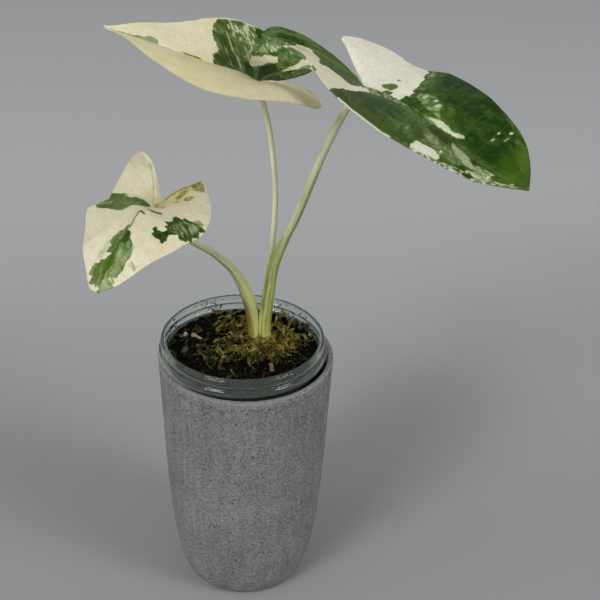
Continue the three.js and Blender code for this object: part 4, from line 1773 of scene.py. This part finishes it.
@dataclass
class Corm:
    """The short thick stem that the stalks grow from, papery brown round its top."""

    centre: tuple[float, float] = (7.6 * MM, 6.8 * MM)
    radius: float = 8.0 * MM
    foot: float = 118.3 * MM
    top: float = 138.2 * MM
    sides: int = 96
    finish: Flake = Flake("corm_skin", (0.03, 0.02, 0.01), (0.14, 0.09, 0.045), 1.6 * MM, 0.8)

    def build(self) -> None:
        """Builds and dresses the corm, which stands for its CAD node."""
        height = (self.top - self.foot) / MM
        profile = [(0.45, 0.6), (0.85, 4.0), (0.96, 7.0)]
        profile += [(1.0 - 0.03 * (k % 2), 9.0 + k * (height - 11.5) / 16) for k in range(17)]
        profile += [(0.93, height - 1.2), (0.85, height - 0.6), (0.6, height - 0.1)]
        corm = turned("corm_body", [(r * self.radius, self.foot + z * MM) for r, z in profile], self.sides)
        points = get_rows(corm)
        angle = np.arctan2(points[:, 1], points[:, 0])
        rough = 0.02 * np.sin(7 * angle + 3) + 0.02 * np.sin(17 * angle + points[:, 2] / MM)
        points[:, :2] *= (0.97 + np.minimum(rough, 0.03))[:, None]
        set_points(corm, points + np.array([*self.centre, 0.0]))
        finish_piece(corm, self.finish.material(), "corm_skin", "corm")


# The leaves' shapes, in millimetres, and their markings

LEFT, RIGHT = Side
OUTER, SINUS = Strip
TONE, HUE, OLIVE, LIME = Layer
DARK = 0.92

UPPER = Shape(
    joint=(4.5, 7, 283), heading=186,
    midrib=rows(
        "0,0,0 14.5,-2,6 30,-4.5,11 43.5,-7.5,15.5 57,-11,19.5 69,-14.5,22.5"),
    left=HalfOutline((-13.5, 12.5, 1.2), rows(
        "69,-14.5,22.5,1,0 59.5,-5.5,20.5,0.88,0.03 49,10,16.5,0.68,0.05 38.5,22,13,0.5,0.06 "
        "28.5,32,10.5,0.34,0.06 19.5,36,9,0.2,0.06 9.5,37,7,0.06,0.06 -1.5,36.5,5.5,-0.12,0.07 "
        "-11,33.5,3,-0.42,0.06 -18.5,29.5,-0.4,-0.72,0.04 -24,26,-3.3,-0.93,0.01 -26.5,22,-2.8,-1,0 "
        "-24.5,16.7,-0.8,-0.84,0.04 -18.5,10.8,1.2,-0.55,0.06 -9,5,1.5,-0.27,0.03 0,0,0,0,0")),
    right=HalfOutline((-15.5, -13.5, -1.5), rows(
        "69,-14.5,22.5,1,0 61.5,-16,22.5,0.9,0 52,-18.5,22.5,0.76,0 40.5,-23,20.5,0.56,0 "
        "28.5,-28,19.5,0.36,-0.02 19,-33,19,0.2,-0.02 8,-37,17,0.05,-0.02 -0.5,-38,13.5,-0.1,-0.02 "
        "-10,-35,9.5,-0.36,-0.02 -20,-27,5,-0.68,0 -27.5,-16,2.5,-0.94,0 -28.5,-11,1.5,-1,0 "
        "-24,-7.5,0,-0.76,0 -15,-4,-1,-0.45,0 -7,-2,-1,-0.2,0 0,0,0,0,0")),
    stalk=rows(
        "8.3,9.6,139 8.9,9.6,152 10,9.4,170 11.8,9,186.3 13,8.5,199.7 13.7,8,213.6 13.8,8,227.2 12.3,7.5,245 "
        "9.7,7.2,263"),
)
UPPER_PAINT = {
    (LEFT, OUTER, TONE): (
        Patch(0.22, "86,0 64,0 66,4 72,6 80,7", mottle=0.4, ragged=0.5),
        Patch(0.16, "30,0 22,0 25,9", mottle=0.4),
        Patch(0.2, "14,0 2,0 4,12 10,13", mottle=0.5),
        Patch(0.32, "2,-5 -4,-5 -4,30 -1,34", soft=0.8),
    ),
    (LEFT, OUTER, HUE): (
        Patch(0.4, "-15,-10 -110,-10 -110,110 -15,110", soft=9),
    ),
    (LEFT, SINUS, HUE): (
        Patch(0.4, "-15,-10 -110,-10 -110,110 -15,110", soft=9),
    ),
    (RIGHT, OUTER, TONE): (
        streak(0.6, 86, 0, 8, 15),
        streak(0.6, 43, 0, 5, 15),
        Patch(0.4, "83,0 64,0 64,20 68,31 72,26 73,14 78,16", mottle=0.2, ragged=0.6),
        Patch(0.6, "27,-10 28,6 25,20 21,38 23,58 21,74 17,92 10,110 -86,110 -83,84 -79,60 -74,40 -68,22 "
              "-52,10 -40,2 -35,-10"),
        Patch(0.8, "26,0 12,2 12,60 20,70 19,40 25,18", mottle=0.4, ragged=2, soft=1.2),
        Patch(0.18, "-36,0 -52,0 -70,14 -68,22 -50,10", mottle=0.5),
        Patch(DARK, "7,3 1,3 1,24 5,27"),
        Patch(0.98, "-1,0 -4,14 -12,22 -33,27 -36,12 -31,0"),
        Patch(0.02, "1,23 -12,25 -22,29 -38,30 -41,40 -40,48 -30,46 -14,44 -3,40 1,32"),
        Patch(0.24, "5,36 2,38 -2,62 -6,72 -8,60 0,40", mottle=0.55),
        Patch(0.14, "3,79 -7,79 -7,94 2,92", mottle=0.45),
        Patch(0.16, "12,70 -14,60 -16,100 8,100", mottle=0.82, ragged=2),
        Patch(0.3, "-10,50 -22,50 -40,62 -55,85 -62,100 -50,100 -35,82 -20,66", mottle=0.55),
        Patch(0.1, "-30,54 -42,58 -46,78 -36,72", mottle=0.5),
        Patch(DARK, "-18,80 -35,84 -45,92 -54,100 -54,110 -18,110", ragged=1.5),
        Patch(0.14, "-28,88 -62,92 -64,110 -28,110", mottle=0.75),
        Patch(0.42, "-44,30 -62,50 -72,95 -62,95 -52,60", mottle=0.6),
        Patch(0.45, "-70,0 -92,0 -95,30 -97,60 -90,40 -78,16", mottle=0.3),
        # Painted sheen: a thin pale line along the margin.
        Patch(0.06, "20,98 -20,98 -20,110 20,110", ragged=0.3),
        streak(0.2, 9.5, 4, 40, 1.8),
        streak(0.24, 11.5, 34, 80),
        streak(0.24, 1.5, 26, 60, 1.8),
        streak(0.3, 16, 8, 50, 1),
        streak(0.3, -1, 60, 98, 1.2),
        streak(0.2, -30, 62, 96),
    ),
    (RIGHT, SINUS, TONE): (
        Patch(0.64, "-88,-10 -88,110 10,110 10,-10"),
        Patch(DARK, "-50,-10 -50,20 -60,20 -60,-10"),
        Patch(DARK, "-15,35 -15,110 -40,110 -40,35"),
        streak(0.45, -58, 10, 80, 5),
        streak(0.45, -38, 10, 70, 5),
    ),
}

RIGHTMOST = Shape(
    joint=(53, 1.5, 283.5), heading=-34,
    midrib=rows(
        "0,0,0 18,0,-2.5 36,-1.5,-8 54.5,-5,-16.5 73,-9.5,-21 90,-11,-23"),
    left=HalfOutline((-10, 14.5, 5), rows(
        "90,-11,-23,1,0 84,3,-19.5,0.91,0.02 76,13.5,-13,0.79,0.03 64.5,20.5,-7,0.65,0.03 "
        "50,28,-2.5,0.48,0.03 34,37,-2,0.32,0.03 23.5,40.5,-1.5,0.21,0 14,41.5,-3,0.11,0.02 "
        "3.5,42,-2.5,-0.04,0.03 -7.5,42.5,1.5,-0.3,0.03 -17,37.5,6,-0.6,0.03 -22,29,10,-0.89,0 "
        "-24.5,21.5,11.5,-1,0 -19,17,8.5,-0.7,0 -11.5,11,4,-0.4,0 -5,5.5,1,-0.18,0 0,0,0,0,0")),
    right=HalfOutline((-21, -8.5, 13), rows(
        "90,-11,-23,1,0 79,-18,-21.5,0.9,0.02 70.5,-25.5,-18.5,0.79,0.03 58.5,-31,-13,0.63,0.03 "
        "46,-35,-7.5,0.46,0.03 32.5,-38,-2,0.29,0.03 20,-38.5,3.5,0.14,0.03 9,-36.5,7.5,0.01,0.03 "
        "0.5,-34,11,-0.18,0.03 -10.5,-30,17,-0.42,0.04 -22,-27.5,20.5,-0.7,0.04 -33,-26.5,22,-0.93,0.02 "
        "-39.5,-24.5,23,-1,0 -39,-16,24.5,-0.86,0.05 -31,-6,20,-0.62,0.05 -19,1,11.5,-0.34,0.05 "
        "-6.5,1,4.5,-0.12,0.03 0,0,0,0,0")),
    stalk=rows(
        "10,5,139 9.9,5,154.5 11.7,4,173 14.1,3,189.7 18.6,2.5,202.4 23.9,2,215 29.9,1.5,232.4 36.3,1,250.8 "
        "45.6,1.2,271.8"),
)
RIGHTMOST_PAINT = {
    (LEFT, OUTER, TONE): (
        Patch(0.76, "110,-10 20,-10 20,6 21.5,18 20,32 18,44 16,62 12.5,80 10,100 9,110 110,110"),
        Patch(0.97, "85,12 70,8 58,14 50,22 44,40 36,45 30,60 26,84 40,92 60,92 76,80 "
              "90,50", mottle=0.15, ragged=2, soft=1.5),
        Patch(DARK, "34,-10 20,-10 20,14 24,20 30,18 34,10"),
        Patch(0.9, "110,-10 93,-10 90,20 91,60 90,110 110,110", mottle=0.3, soft=1.2),
        Patch(0.97, "62,66 42,60 26,72 20,92 22,106 64,106", ragged=1.5),
        Patch(0.44, "43,10 38,22 36,36 28,40 22,34 24,22 32,15", mottle=0.4),
        Patch(0.44, "24,36 19,42 15,74 12,98 16,98 22,70", mottle=0.5, soft=0.8),
        Patch(0.05, "58,18 55,8 50,3 42,0 34,0 38,5 43,12 50,13 56,21", mottle=0.12, ragged=0.6),
        streak(0.3, 33, 0, 2.5, 20),
        streak(0.05, 68, 44, 54, 1.2),
        streak(0.05, 72.5, 62, 75, 1.4),
        streak(0.05, 67.5, 61, 69, 1.2),
        streak(0.05, 71.5, 79, 87, 1.2),
        streak(0.1, 36, 23, 32),
        streak(0.1, 33, 30, 36),
        streak(0.1, 27.5, 24, 36, 2),
        Patch(0.72, "14,2 10.5,2 10.5,8 14,8", ragged=0.4),
        Patch(0.68, "12.5,10 9,9 6,11 5.5,20 7,28 10,31 12.5,26", mottle=0.15, ragged=0.7),
        Patch(0.6, "9,38 7,38 7,43 9,43", ragged=0.4),
    ),
    (LEFT, OUTER, LIME): (
        Patch(0.4, "110,-10 84,-10 78,30 82,110 110,110", soft=3.5),
    ),
    (RIGHT, OUTER, TONE): (
        Patch(0.68, "110,-10 -54,-10 -52,4 -47,20 -41,44 -38,60 -36,58 -31,43 -22,40 -4,41 1,28 2,8 5,8 7,24 "
              "4,40 1,60 -6,74 -10,84 -14,94 -15,110 110,110"),
        Patch(0.84, "26,30 12,26 4,50 0,70 -6,88 -4,96 20,98 42,96 40,80 "
              "26,64", mottle=0.4, ragged=2, soft=1.5),
        # Painted sheen: a paler, mottled green patch by the midrib near the joint.
        Patch(0.32, "27,3 10,3 2,6 6,22 14,20 24,14", mottle=0.6),
        Patch(DARK, "55,1 41,1 40,24 44,30 53,26"),
        Patch(0.22, "64,-5 54,-5 56,20 60,34 68,54 74,56 72,34 68,18", mottle=0.06, ragged=0.5),
        Patch(0.47, "62,34 55,30 46,30 43,44 44,70 56,72 64,78 68,60 66,44", mottle=0.12),
        Patch(0.22, "82,10 74,8 72,30 74,60 76,90 82,90", mottle=0.4),
        Patch(0.14, "98,70 82,44 74,60 66,84 76,99 98,99", mottle=0.66, ragged=1.5),
        Patch(0.06, "73,96 60,93 42,95 42,110 88,110 86,97", mottle=0.55, ragged=0.7),
        Patch(DARK, "73,2 68,2 69,24 72,27"),
        Patch(DARK, "72,60 68,58 67,80 71,78"),
        Patch(DARK, "76,84 72,84 72,97 76,97"),
        Patch(0.76, "90,0 84,0 83,40 86,68 90,60"),
        streak(0.2, 92.5, 0, 70, 2),
        streak(0.1, 81.5, 10, 70),
        streak(0.1, 55.5, 56, 72, 2),
        Patch(0.03, "57,92 56,74 52,70 48,72 43,74 42,96 50,97"),
        Patch(0.2, "66,86 60,90 60,97 66,96", mottle=0.5),
        streak(0.05, 38.5, 0, 6, 7),
        streak(0.44, 34.5, 50, 67, 1.8),
        streak(0.44, 38, 10, 30, 1.4),
        streak(0.42, 20, 46, 56, 1),
        # Painted highlight: a thin cream line along the near margin.
        Patch(0, "32,98 -3,98 -3,110 32,110", ragged=0.2),
        Patch(0.12, "-53,0 -68,0 -70,40 -66,60 -56,50", mottle=0.6),
        Patch(0.58, "-68,-10 -69,30 -72,60 -76,80 -78,110 -110,110 -110,-10", mottle=0.2),
        Patch(0.72, "-69,-10 -80,-10 -79,28 -70,24", soft=1),
        Patch(0.52, "-50,110 -51,84 -55,78 -68,76 -74,84 -76,110", mottle=0.2),
        streak(0.16, -77, 20, 95, 1.8),
        streak(0.28, -83, 10, 90, 1.2),
        streak(0.24, -88, 10, 90, 1.8),
        streak(0.24, -94, 20, 90, 1.8),
        Patch(0.48, "-35,95 -40,95 -40,110 -35,110"),
    ),
    (RIGHT, OUTER, LIME): (
        Patch(0.4, "110,-10 86,-10 84,60 88,110 110,110", soft=3.5),
    ),
    (RIGHT, OUTER, HUE): (
        Patch(0.3, "-2,-10 -110,-10 -110,110 -2,110", soft=3),
    ),
    (RIGHT, SINUS, TONE): (
        Patch(0.66, "-110,-10 -110,110 10,110 10,-10", mottle=0.1),
        Patch(DARK, "-85,15 -60,10 -60,55 -85,55", soft=1.5),
        Patch(0.05, "-65,-10 -51,-10 -52,8 -64,9"),
    ),
}

LEFTMOST = Shape(
    joint=(-44, -15.5, 229), heading=245,
    midrib=rows(
        "0,0,0 12.5,0.5,4.5 28,3,2.5 38.5,3.5,-1.5 48,3,-8 56.5,3,-15"),
    left=HalfOutline((-19, 4, -4), rows(
        "56.5,3,-15,1,0 52.5,9,-13,0.86,0.02 46.5,14,-10,0.7,0.02 37,19,-6.5,0.5,0.02 "
        "26.5,23.5,-5.5,0.3,0.02 17,27,-4.5,0.16,0.02 8,29.5,-4.5,0,0.03 -4.5,27.5,-3.5,-0.26,0.03 "
        "-20,20.5,-4,-0.6,0.03 -31.5,12.5,-3,-0.88,0.02 -36,8,-1,-1,0 -30.5,4,-1.5,-0.74,0 "
        "-21.5,0.5,-1.5,-0.45,0 -11.5,-0.5,-2,-0.22,0 0,0,0,0,0")),
    right=HalfOutline((-18, -8.5, 5), rows(
        "56.5,3,-15,1,0 57.5,0,-12.5,0.93,0.02 54,-3.5,-5.5,0.72,0.03 50.5,-6.5,1,0.5,0.04 "
        "46,-7.5,8,0.3,0.05 38.5,-10.5,14.5,0.1,0.04 29,-11.5,10,0,0.21 16.5,-15,5,-0.12,0.05 "
        "4.5,-18.5,5.5,-0.28,-0.03 -7.5,-21,7.5,-0.52,-0.02 -17.5,-21,12.5,-0.8,0 -24.5,-19.5,14.5,-1,0 "
        "-25,-14.5,12,-0.83,0 -22,-10,7,-0.58,0 -15.5,-4.5,1.5,-0.3,0 -8,-0.5,-0.5,-0.12,0 0,0,0,0,0")),
    stalk=rows(
        "4.6,5.6,139 3.5,5,154.5 1.4,2,167.1 -2.1,-1,178.8 -7,-4,189.6 -11.9,-6,195.8 -17.6,-8,201.8 "
        "-26,-10,208.1 -36.1,-13,218"),
)
LEFTMOST_PAINT = {
    (LEFT, OUTER, TONE): (
        Patch(0.4, "110,-10 88,-10 84,50 84,110 110,110", mottle=0.35, soft=1),
        Patch(0.5, "90,-10 88,24 84,50 78,66 72,62 66,52 60,56 55,44 51,22 46,10 "
              "44,-10", mottle=0.35, ragged=1.8),
        Patch(0.84, "82,0 70,0 70,12 80,14", mottle=0.3, soft=0.8),
        Patch(0.3, "68,8 62,8 62,44 68,50", mottle=0.6),
        Patch(0.8, "58,-10 45,-10 47,8 52,17 58,14", mottle=0.2),
        Patch(0.24, "65,62 60,64 60,90 65,92", mottle=0.4),
        streak(0.36, 87, 0, 90, 2.5),
        streak(0.36, 83, 40, 90, 2),
        streak(0.5, 34, 0, 4, 28),
        Patch(0.7, "23,1 20,1 20.5,12 22.5,14", ragged=0.4),
        Patch(0.56, "14,7 11,7 7,16 3,22 6,29 12,18", ragged=0.6),
        Patch(0.8, "30,50 25,48 22,54 20,60 18,52 14,46 10,42 6,48 3,46 -4,50 -3,58 -10,58 -13,66 -12,80 "
              "-11,92 -5,98 6,97 14,97 17,90 17,78 22,68 24,79 27,74 30,62", ragged=2.2),
        Patch(0.4, "17,56 -8,60 -11,90 10,94 16,76", mottle=0.85, ragged=1.5),
        streak(0.3, -6, 66, 92, 1.2),
        Patch(0.3, "-11,74 -20,84 -17,92 -12,90", mottle=0.3),
    ),
    (LEFT, OUTER, LIME): (
        Patch(0.6, "110,-10 84,-10 84,110 110,110", soft=1),
        Patch(0.8, "90,-10 60,-10 66,60 84,50", soft=2),
    ),
    (LEFT, OUTER, OLIVE): (
        Patch(0.5, "-11,70 -20,80 -17,95 -12,92", soft=1),
        Patch(0.6, "0,-10 -20,-10 -18,10 -5,12", mottle=0.5, soft=0.8),
        Patch(0.9, "-33,-10 -46,-10 -47,15 -36,12", mottle=0.45, ragged=2.5, soft=1.2),
        Patch(0.9, "-47,8 -62,6 -66,28 -54,32", mottle=0.45, ragged=2.5, soft=1.2),
        Patch(0.9, "-78,-10 -98,-10 -97,80 -82,80", mottle=0.35, soft=1),
    ),
    (LEFT, OUTER, HUE): (
        Patch(0.5, "-2,-10 -110,-10 -110,50 -50,40", soft=5),
    ),
    (LEFT, SINUS, HUE): (
        Patch(1, "-5,-10 -110,-10 -110,110 -5,110", soft=2),
    ),
    (LEFT, SINUS, OLIVE): (
        Patch(1, "-96,-10 -82,-10 -74,110 -98,110", mottle=0.25, soft=0.8),
        Patch(0.95, "-72,50 -62,20 -50,-10 -42,6 -46,40 -58,66 -72,70", mottle=0.5, ragged=3, soft=1.2),
        Patch(0.9, "-98,66 -60,78 -24,70 -18,110 -98,110", mottle=0.5, ragged=3, soft=1.2),
        # Painted shade: olive brown along the sinus next to the joint.
        Patch(0.7, "-11,-10 -4,-10 -6,110 -12,110", soft=0.8),
    ),
    (RIGHT, OUTER, TONE): (
        Patch(0.55, "97,-10 95,50 91,72 87,94 83,72 79,98 75,70 71,48 68,-10", mottle=0.35, ragged=2.4),
        Patch(0.18, "70,34 60,30 52,22 49,30 56,48 68,62", mottle=0.35, ragged=1.5),
        Patch(0.78, "86,-5 70,-5 70,22 84,26", ragged=1.6, soft=0.8),
        Patch(0.62, "68,-10 66,34 60,28 54,36 48,22 42,10 40,-10", mottle=0.35, ragged=1.6),
        Patch(0.6, "9,2 2,2 1,20 4,38 9,34", ragged=0.5),
        Patch(0.54, "20,34 14,30 9,27 5,34 2,54 -1,56 -5,38 -9,25 -13,26 -19,36 -25,52 -28,72 -27,110 -3,110 "
              "6,92 11,86 14,66 19,44", mottle=0.1, ragged=0.2),
        Patch(0.72, "-4,54 -16,42 -22,60 -8,66", ragged=1.5, soft=1.5),
        streak(0.3, -14, 36, 90, 1),
        streak(0.3, -20, 50, 96, 1),
        streak(0.32, 7, 60, 88, 1.2),
        streak(0.32, -4, 70, 98, 1),
    ),
    (RIGHT, OUTER, LIME): (
        Patch(1, "96,-10 66,-10 70,60 88,90", soft=2),
    ),
    (RIGHT, OUTER, HUE): (
        Patch(0.7, "2,-10 -40,-10 -34,30 -16,20", soft=5),
    ),
    (RIGHT, OUTER, OLIVE): (
        # Painted shade: a thin olive brown line along the crease by the lobe's vein.
        Patch(0.5, "-6,0 -70,0 -70,5 -40,6", mottle=0.5, soft=0.8),
    ),
    (RIGHT, SINUS, TONE): (
        Patch(0.3, "-64,-10 -78,-10 -74,60 -66,50", mottle=0.4, soft=0.8),
    ),
    (RIGHT, SINUS, HUE): (
        Patch(0.9, "10,-10 -20,-10 -16,110 10,110", soft=5),
    ),
}


# Camera, light and floor


@dataclass(frozen=True)
class SoftBox:
    """A square light: its direction and height in degrees, distance and side in metres, and power."""

    azimuth: float
    height: float
    distance: float
    side: float
    power: float


@dataclass
class Studio:
    """A plain pale floor, soft boxes from the front and the left, a grey sky and the photograph's camera."""

    camera_place: tuple[float, float, float] = (0.0, -0.557, 0.5076)
    lens: float = 78.0
    sensor: float = 36.0
    yaw: float = 2.77
    pitch: float = 31.22
    roll: float = 1.73
    floor_size: float = 12.0
    floor_tone: float = 0.325
    floor_tint: Colour = (0.98, 0.99, 1.0)
    # Painted light on the floor: the next two set how far back along Y the brighter band of floor colour
    # peaks, in metres, and how much brighter it is.
    painted_glow: float = 0.5
    painted_glow_gain: float = 1.42
    sky: Colour = (0.95, 0.98, 1.0)
    sky_strength: float = 0.37
    boxes: tuple[SoftBox, ...] = (
        SoftBox(230, 35, 5, 1.9, 103),
        SoftBox(230, 35, 5, 0.5, 18),
        SoftBox(-31, 35, 5, 1.9, 73),
        SoftBox(-31, 35, 5, 0.5, 12),
        SoftBox(192, 30, 5, 1.9, 16),
    )
    target: tuple[float, float, float] = (0.0, 0.0, 0.16)

    def build(self) -> None:
        """Sets up the floor, the lights, the sky and the camera."""
        self.add_floor()
        for box in self.boxes:
            self.add_box(box)
        world = bpy.data.worlds.new("soft_sky")
        bpy.context.scene.world = world
        world.use_nodes = True
        sky = world.node_tree.nodes["Background"]
        sky.inputs["Color"].default_value = (*self.sky, 1.0)
        sky.inputs["Strength"].default_value = self.sky_strength
        self.add_camera()
        bpy.context.scene.view_settings.view_transform = "Standard"

    def add_floor(self) -> None:
        """Adds the floor, which isn't part of the object."""
        floor = added("studio_floor", bpy.ops.mesh.primitive_plane_add, size=self.floor_size)
        look = Look("floor_paper", Roughness=0.9, Specular_IOR_Level=0.2)
        # Painted light: the floor's colour brightens from the plant back to a band half a metre behind it,
        # then dims partway further back.
        away = look.axis("Y") + (look.noise(0.3) - 0.5) * 0.05
        far = away.ramped(self.painted_glow, 2.2 * self.painted_glow)
        near = away.ramped(0.0, self.painted_glow, smooth=True) * (1.0 - far * 0.45)
        tone, painted_glow = (tuple(gain * self.floor_tone * part for part in self.floor_tint)
                      for gain in (1.0, self.painted_glow_gain))
        look.feed("Base Color", look.mixed(near, tone, painted_glow))
        floor.data.materials.append(look.material)

    def add_box(self, box: SoftBox) -> None:
        """Adds a soft box that faces the plant.

        Args:
            box: its place, size and power.
        """
        height = math.radians(box.height)
        out = Vector(planar(math.radians(box.azimuth)) * math.cos(height) + math.sin(height) * UP)
        turn = out.to_track_quat("Z", "Y").to_euler()
        place = Vector(self.target) + out * box.distance
        bpy.ops.object.light_add(type="AREA", location=place, rotation=turn)
        light = bpy.context.object.data
        light.size = box.side
        light.energy = box.power

    def add_camera(self) -> None:
        """Adds the camera and makes it the scene's."""
        yaw, pitch, roll = (math.radians(angle) for angle in (self.yaw, self.pitch, self.roll))
        ahead = Vector((math.sin(yaw) * math.cos(pitch), math.cos(yaw) * math.cos(pitch), -math.sin(pitch)))
        right = Vector((math.cos(yaw), -math.sin(yaw), 0))
        level = Matrix((right, right.cross(ahead), -ahead)).transposed()
        turn = (level @ Matrix.Rotation(roll, 3, "Z")).to_euler()
        bpy.ops.object.camera_add(location=self.camera_place, rotation=turn)
        camera = bpy.context.object
        camera.data.lens = self.lens
        camera.data.sensor_width = self.sensor
        camera.data.clip_start = 0.01
        bpy.context.scene.camera = camera


def build_leaves() -> None:
    """Builds the three leaves and their stalks."""
    pale = StalkSkin("pale_stalk", (0.7, 0.71, 0.46), (0.42, 0.48, 0.18), (0.84, 0.82, 0.5))
    green = StalkSkin("green_stalk", (0.66, 0.67, 0.44), (0.24, 0.31, 0.03), (0.7, 0.68, 0.24))
    cream = LeafSkin("cream_blade")
    leaf = LeafSkin("green_blade", (0.82, 0.79, 0.65))
    stalks = (
        LeafStalk("upper", UPPER, ((0, 1.5), (0.3, 1.45), (0.6, 1.3), (1, 1.25)),
                  ((139, 0.25), (200, 0.05), (280, 0.0)), pale, "pale_stalk", warm=(400.0, 500.0)),
        LeafStalk("right", RIGHTMOST,
                  ((0, 2.6), (0.1, 2.85), (0.17, 3.05), (0.27, 2.6), (0.36, 2.65), (0.46, 2.05), (0.58, 2.1),
                   (0.8, 1.75), (1, 1.75)),
                  ((139, 0.25), (150, 0.28), (165, 0.5), (194, 0.57), (203, 0.52), (216, 0.28), (250, 0.12)),
                  green, "green_stalk",
                  (Stripe((1, -0.3, 0), 198, 243, 0.7, 0.0, 0.2),
                   Stripe((-1, -0.5, 0), 160, 205, 0.3, 0.1, 0.16),
                   Stripe((1, -0.3, 0), 150, 198, 0.3, 0.0, 0.25)), groove_facing=165.0),
        LeafStalk("left", LEFTMOST,
                  ((0, 2.7), (0.1, 3.0), (0.25, 3.1), (0.4, 2.5), (0.6, 1.7), (0.8, 1.4), (1, 1.25)),
                  ((139, 0.15), (170, 0.2), (230, 0.1)), green, "green_stalk",
                  (Stripe((0.1, -0.5, -1), 165, 232, 0.55, 0.15, 0.2),
                   Stripe((-1, -0.85, 0), 134, 170, 0.1, 0.85, 0.18),
                   Stripe((-1, -0.2, 0), 136, 185, 0.35, 0.3, 0.12),
                   Stripe((0.7, -1, 0.2), 150, 178, -0.4, 0.0, 0.3)), groove_facing=60.0),
    )
    blades = (
        LeafBlade("upper", UPPER, UPPER_PAINT, cream, "cream_blade", SEED + 31, (0.6, 0.3),
                  swell=0.05 * MM, easing=600),
        LeafBlade("right", RIGHTMOST, RIGHTMOST_PAINT, leaf, "green_blade", SEED + 32, (0.0, 0.0),
                  easing=300),
        LeafBlade("left", LEFTMOST, LEFTMOST_PAINT, cream, "cream_blade", SEED + 33, (0.2, 0.2),
                  swell=0.05 * MM, groove=0.03 * MM),
    )
    for part in stalks + blades:
        part.build()


def build_moss(ground: Ground) -> None:
    """Builds the moss beds and what grows on the rest of the soil.

    Args:
        ground: the soil's shape.
    """
    golden = MossSkin("golden_moss", (0.004, 0.004, 0.001), (0.1, 0.115, 0.012), (0.62, 0.45, 0.08))
    dark = MossSkin("dark_moss", (0.002, 0.003, 0.001), (0.022, 0.035, 0.004), (0.11, 0.11, 0.016))
    gold = golden.material()
    MossBed("front_moss", ground, 172, 398, 9.4, 17, (MossArm(212, 17, 20), MossArm(352, 6, 16)),
            3.4, 400, SEED + 41, gold).build()
    MossBed("back_moss", ground, 106, 152, 14, 22, (MossArm(132, 8, 14),),
            2.4, 110, SEED + 42, gold).build()
    SoilGrowth(ground).build(gold, dark.material())


def main() -> None:
    """Builds everything and notes the sizes."""
    logging.basicConfig(level=logging.INFO, format="%(name)s: %(message)s")
    ground = Ground()
    CoverPot().build()
    ClearCup().build()
    PottingMix(ground).build()
    Corm().build()
    build_leaves()
    build_moss(ground)
    Studio().build()


if __name__ == "__main__":
    main()
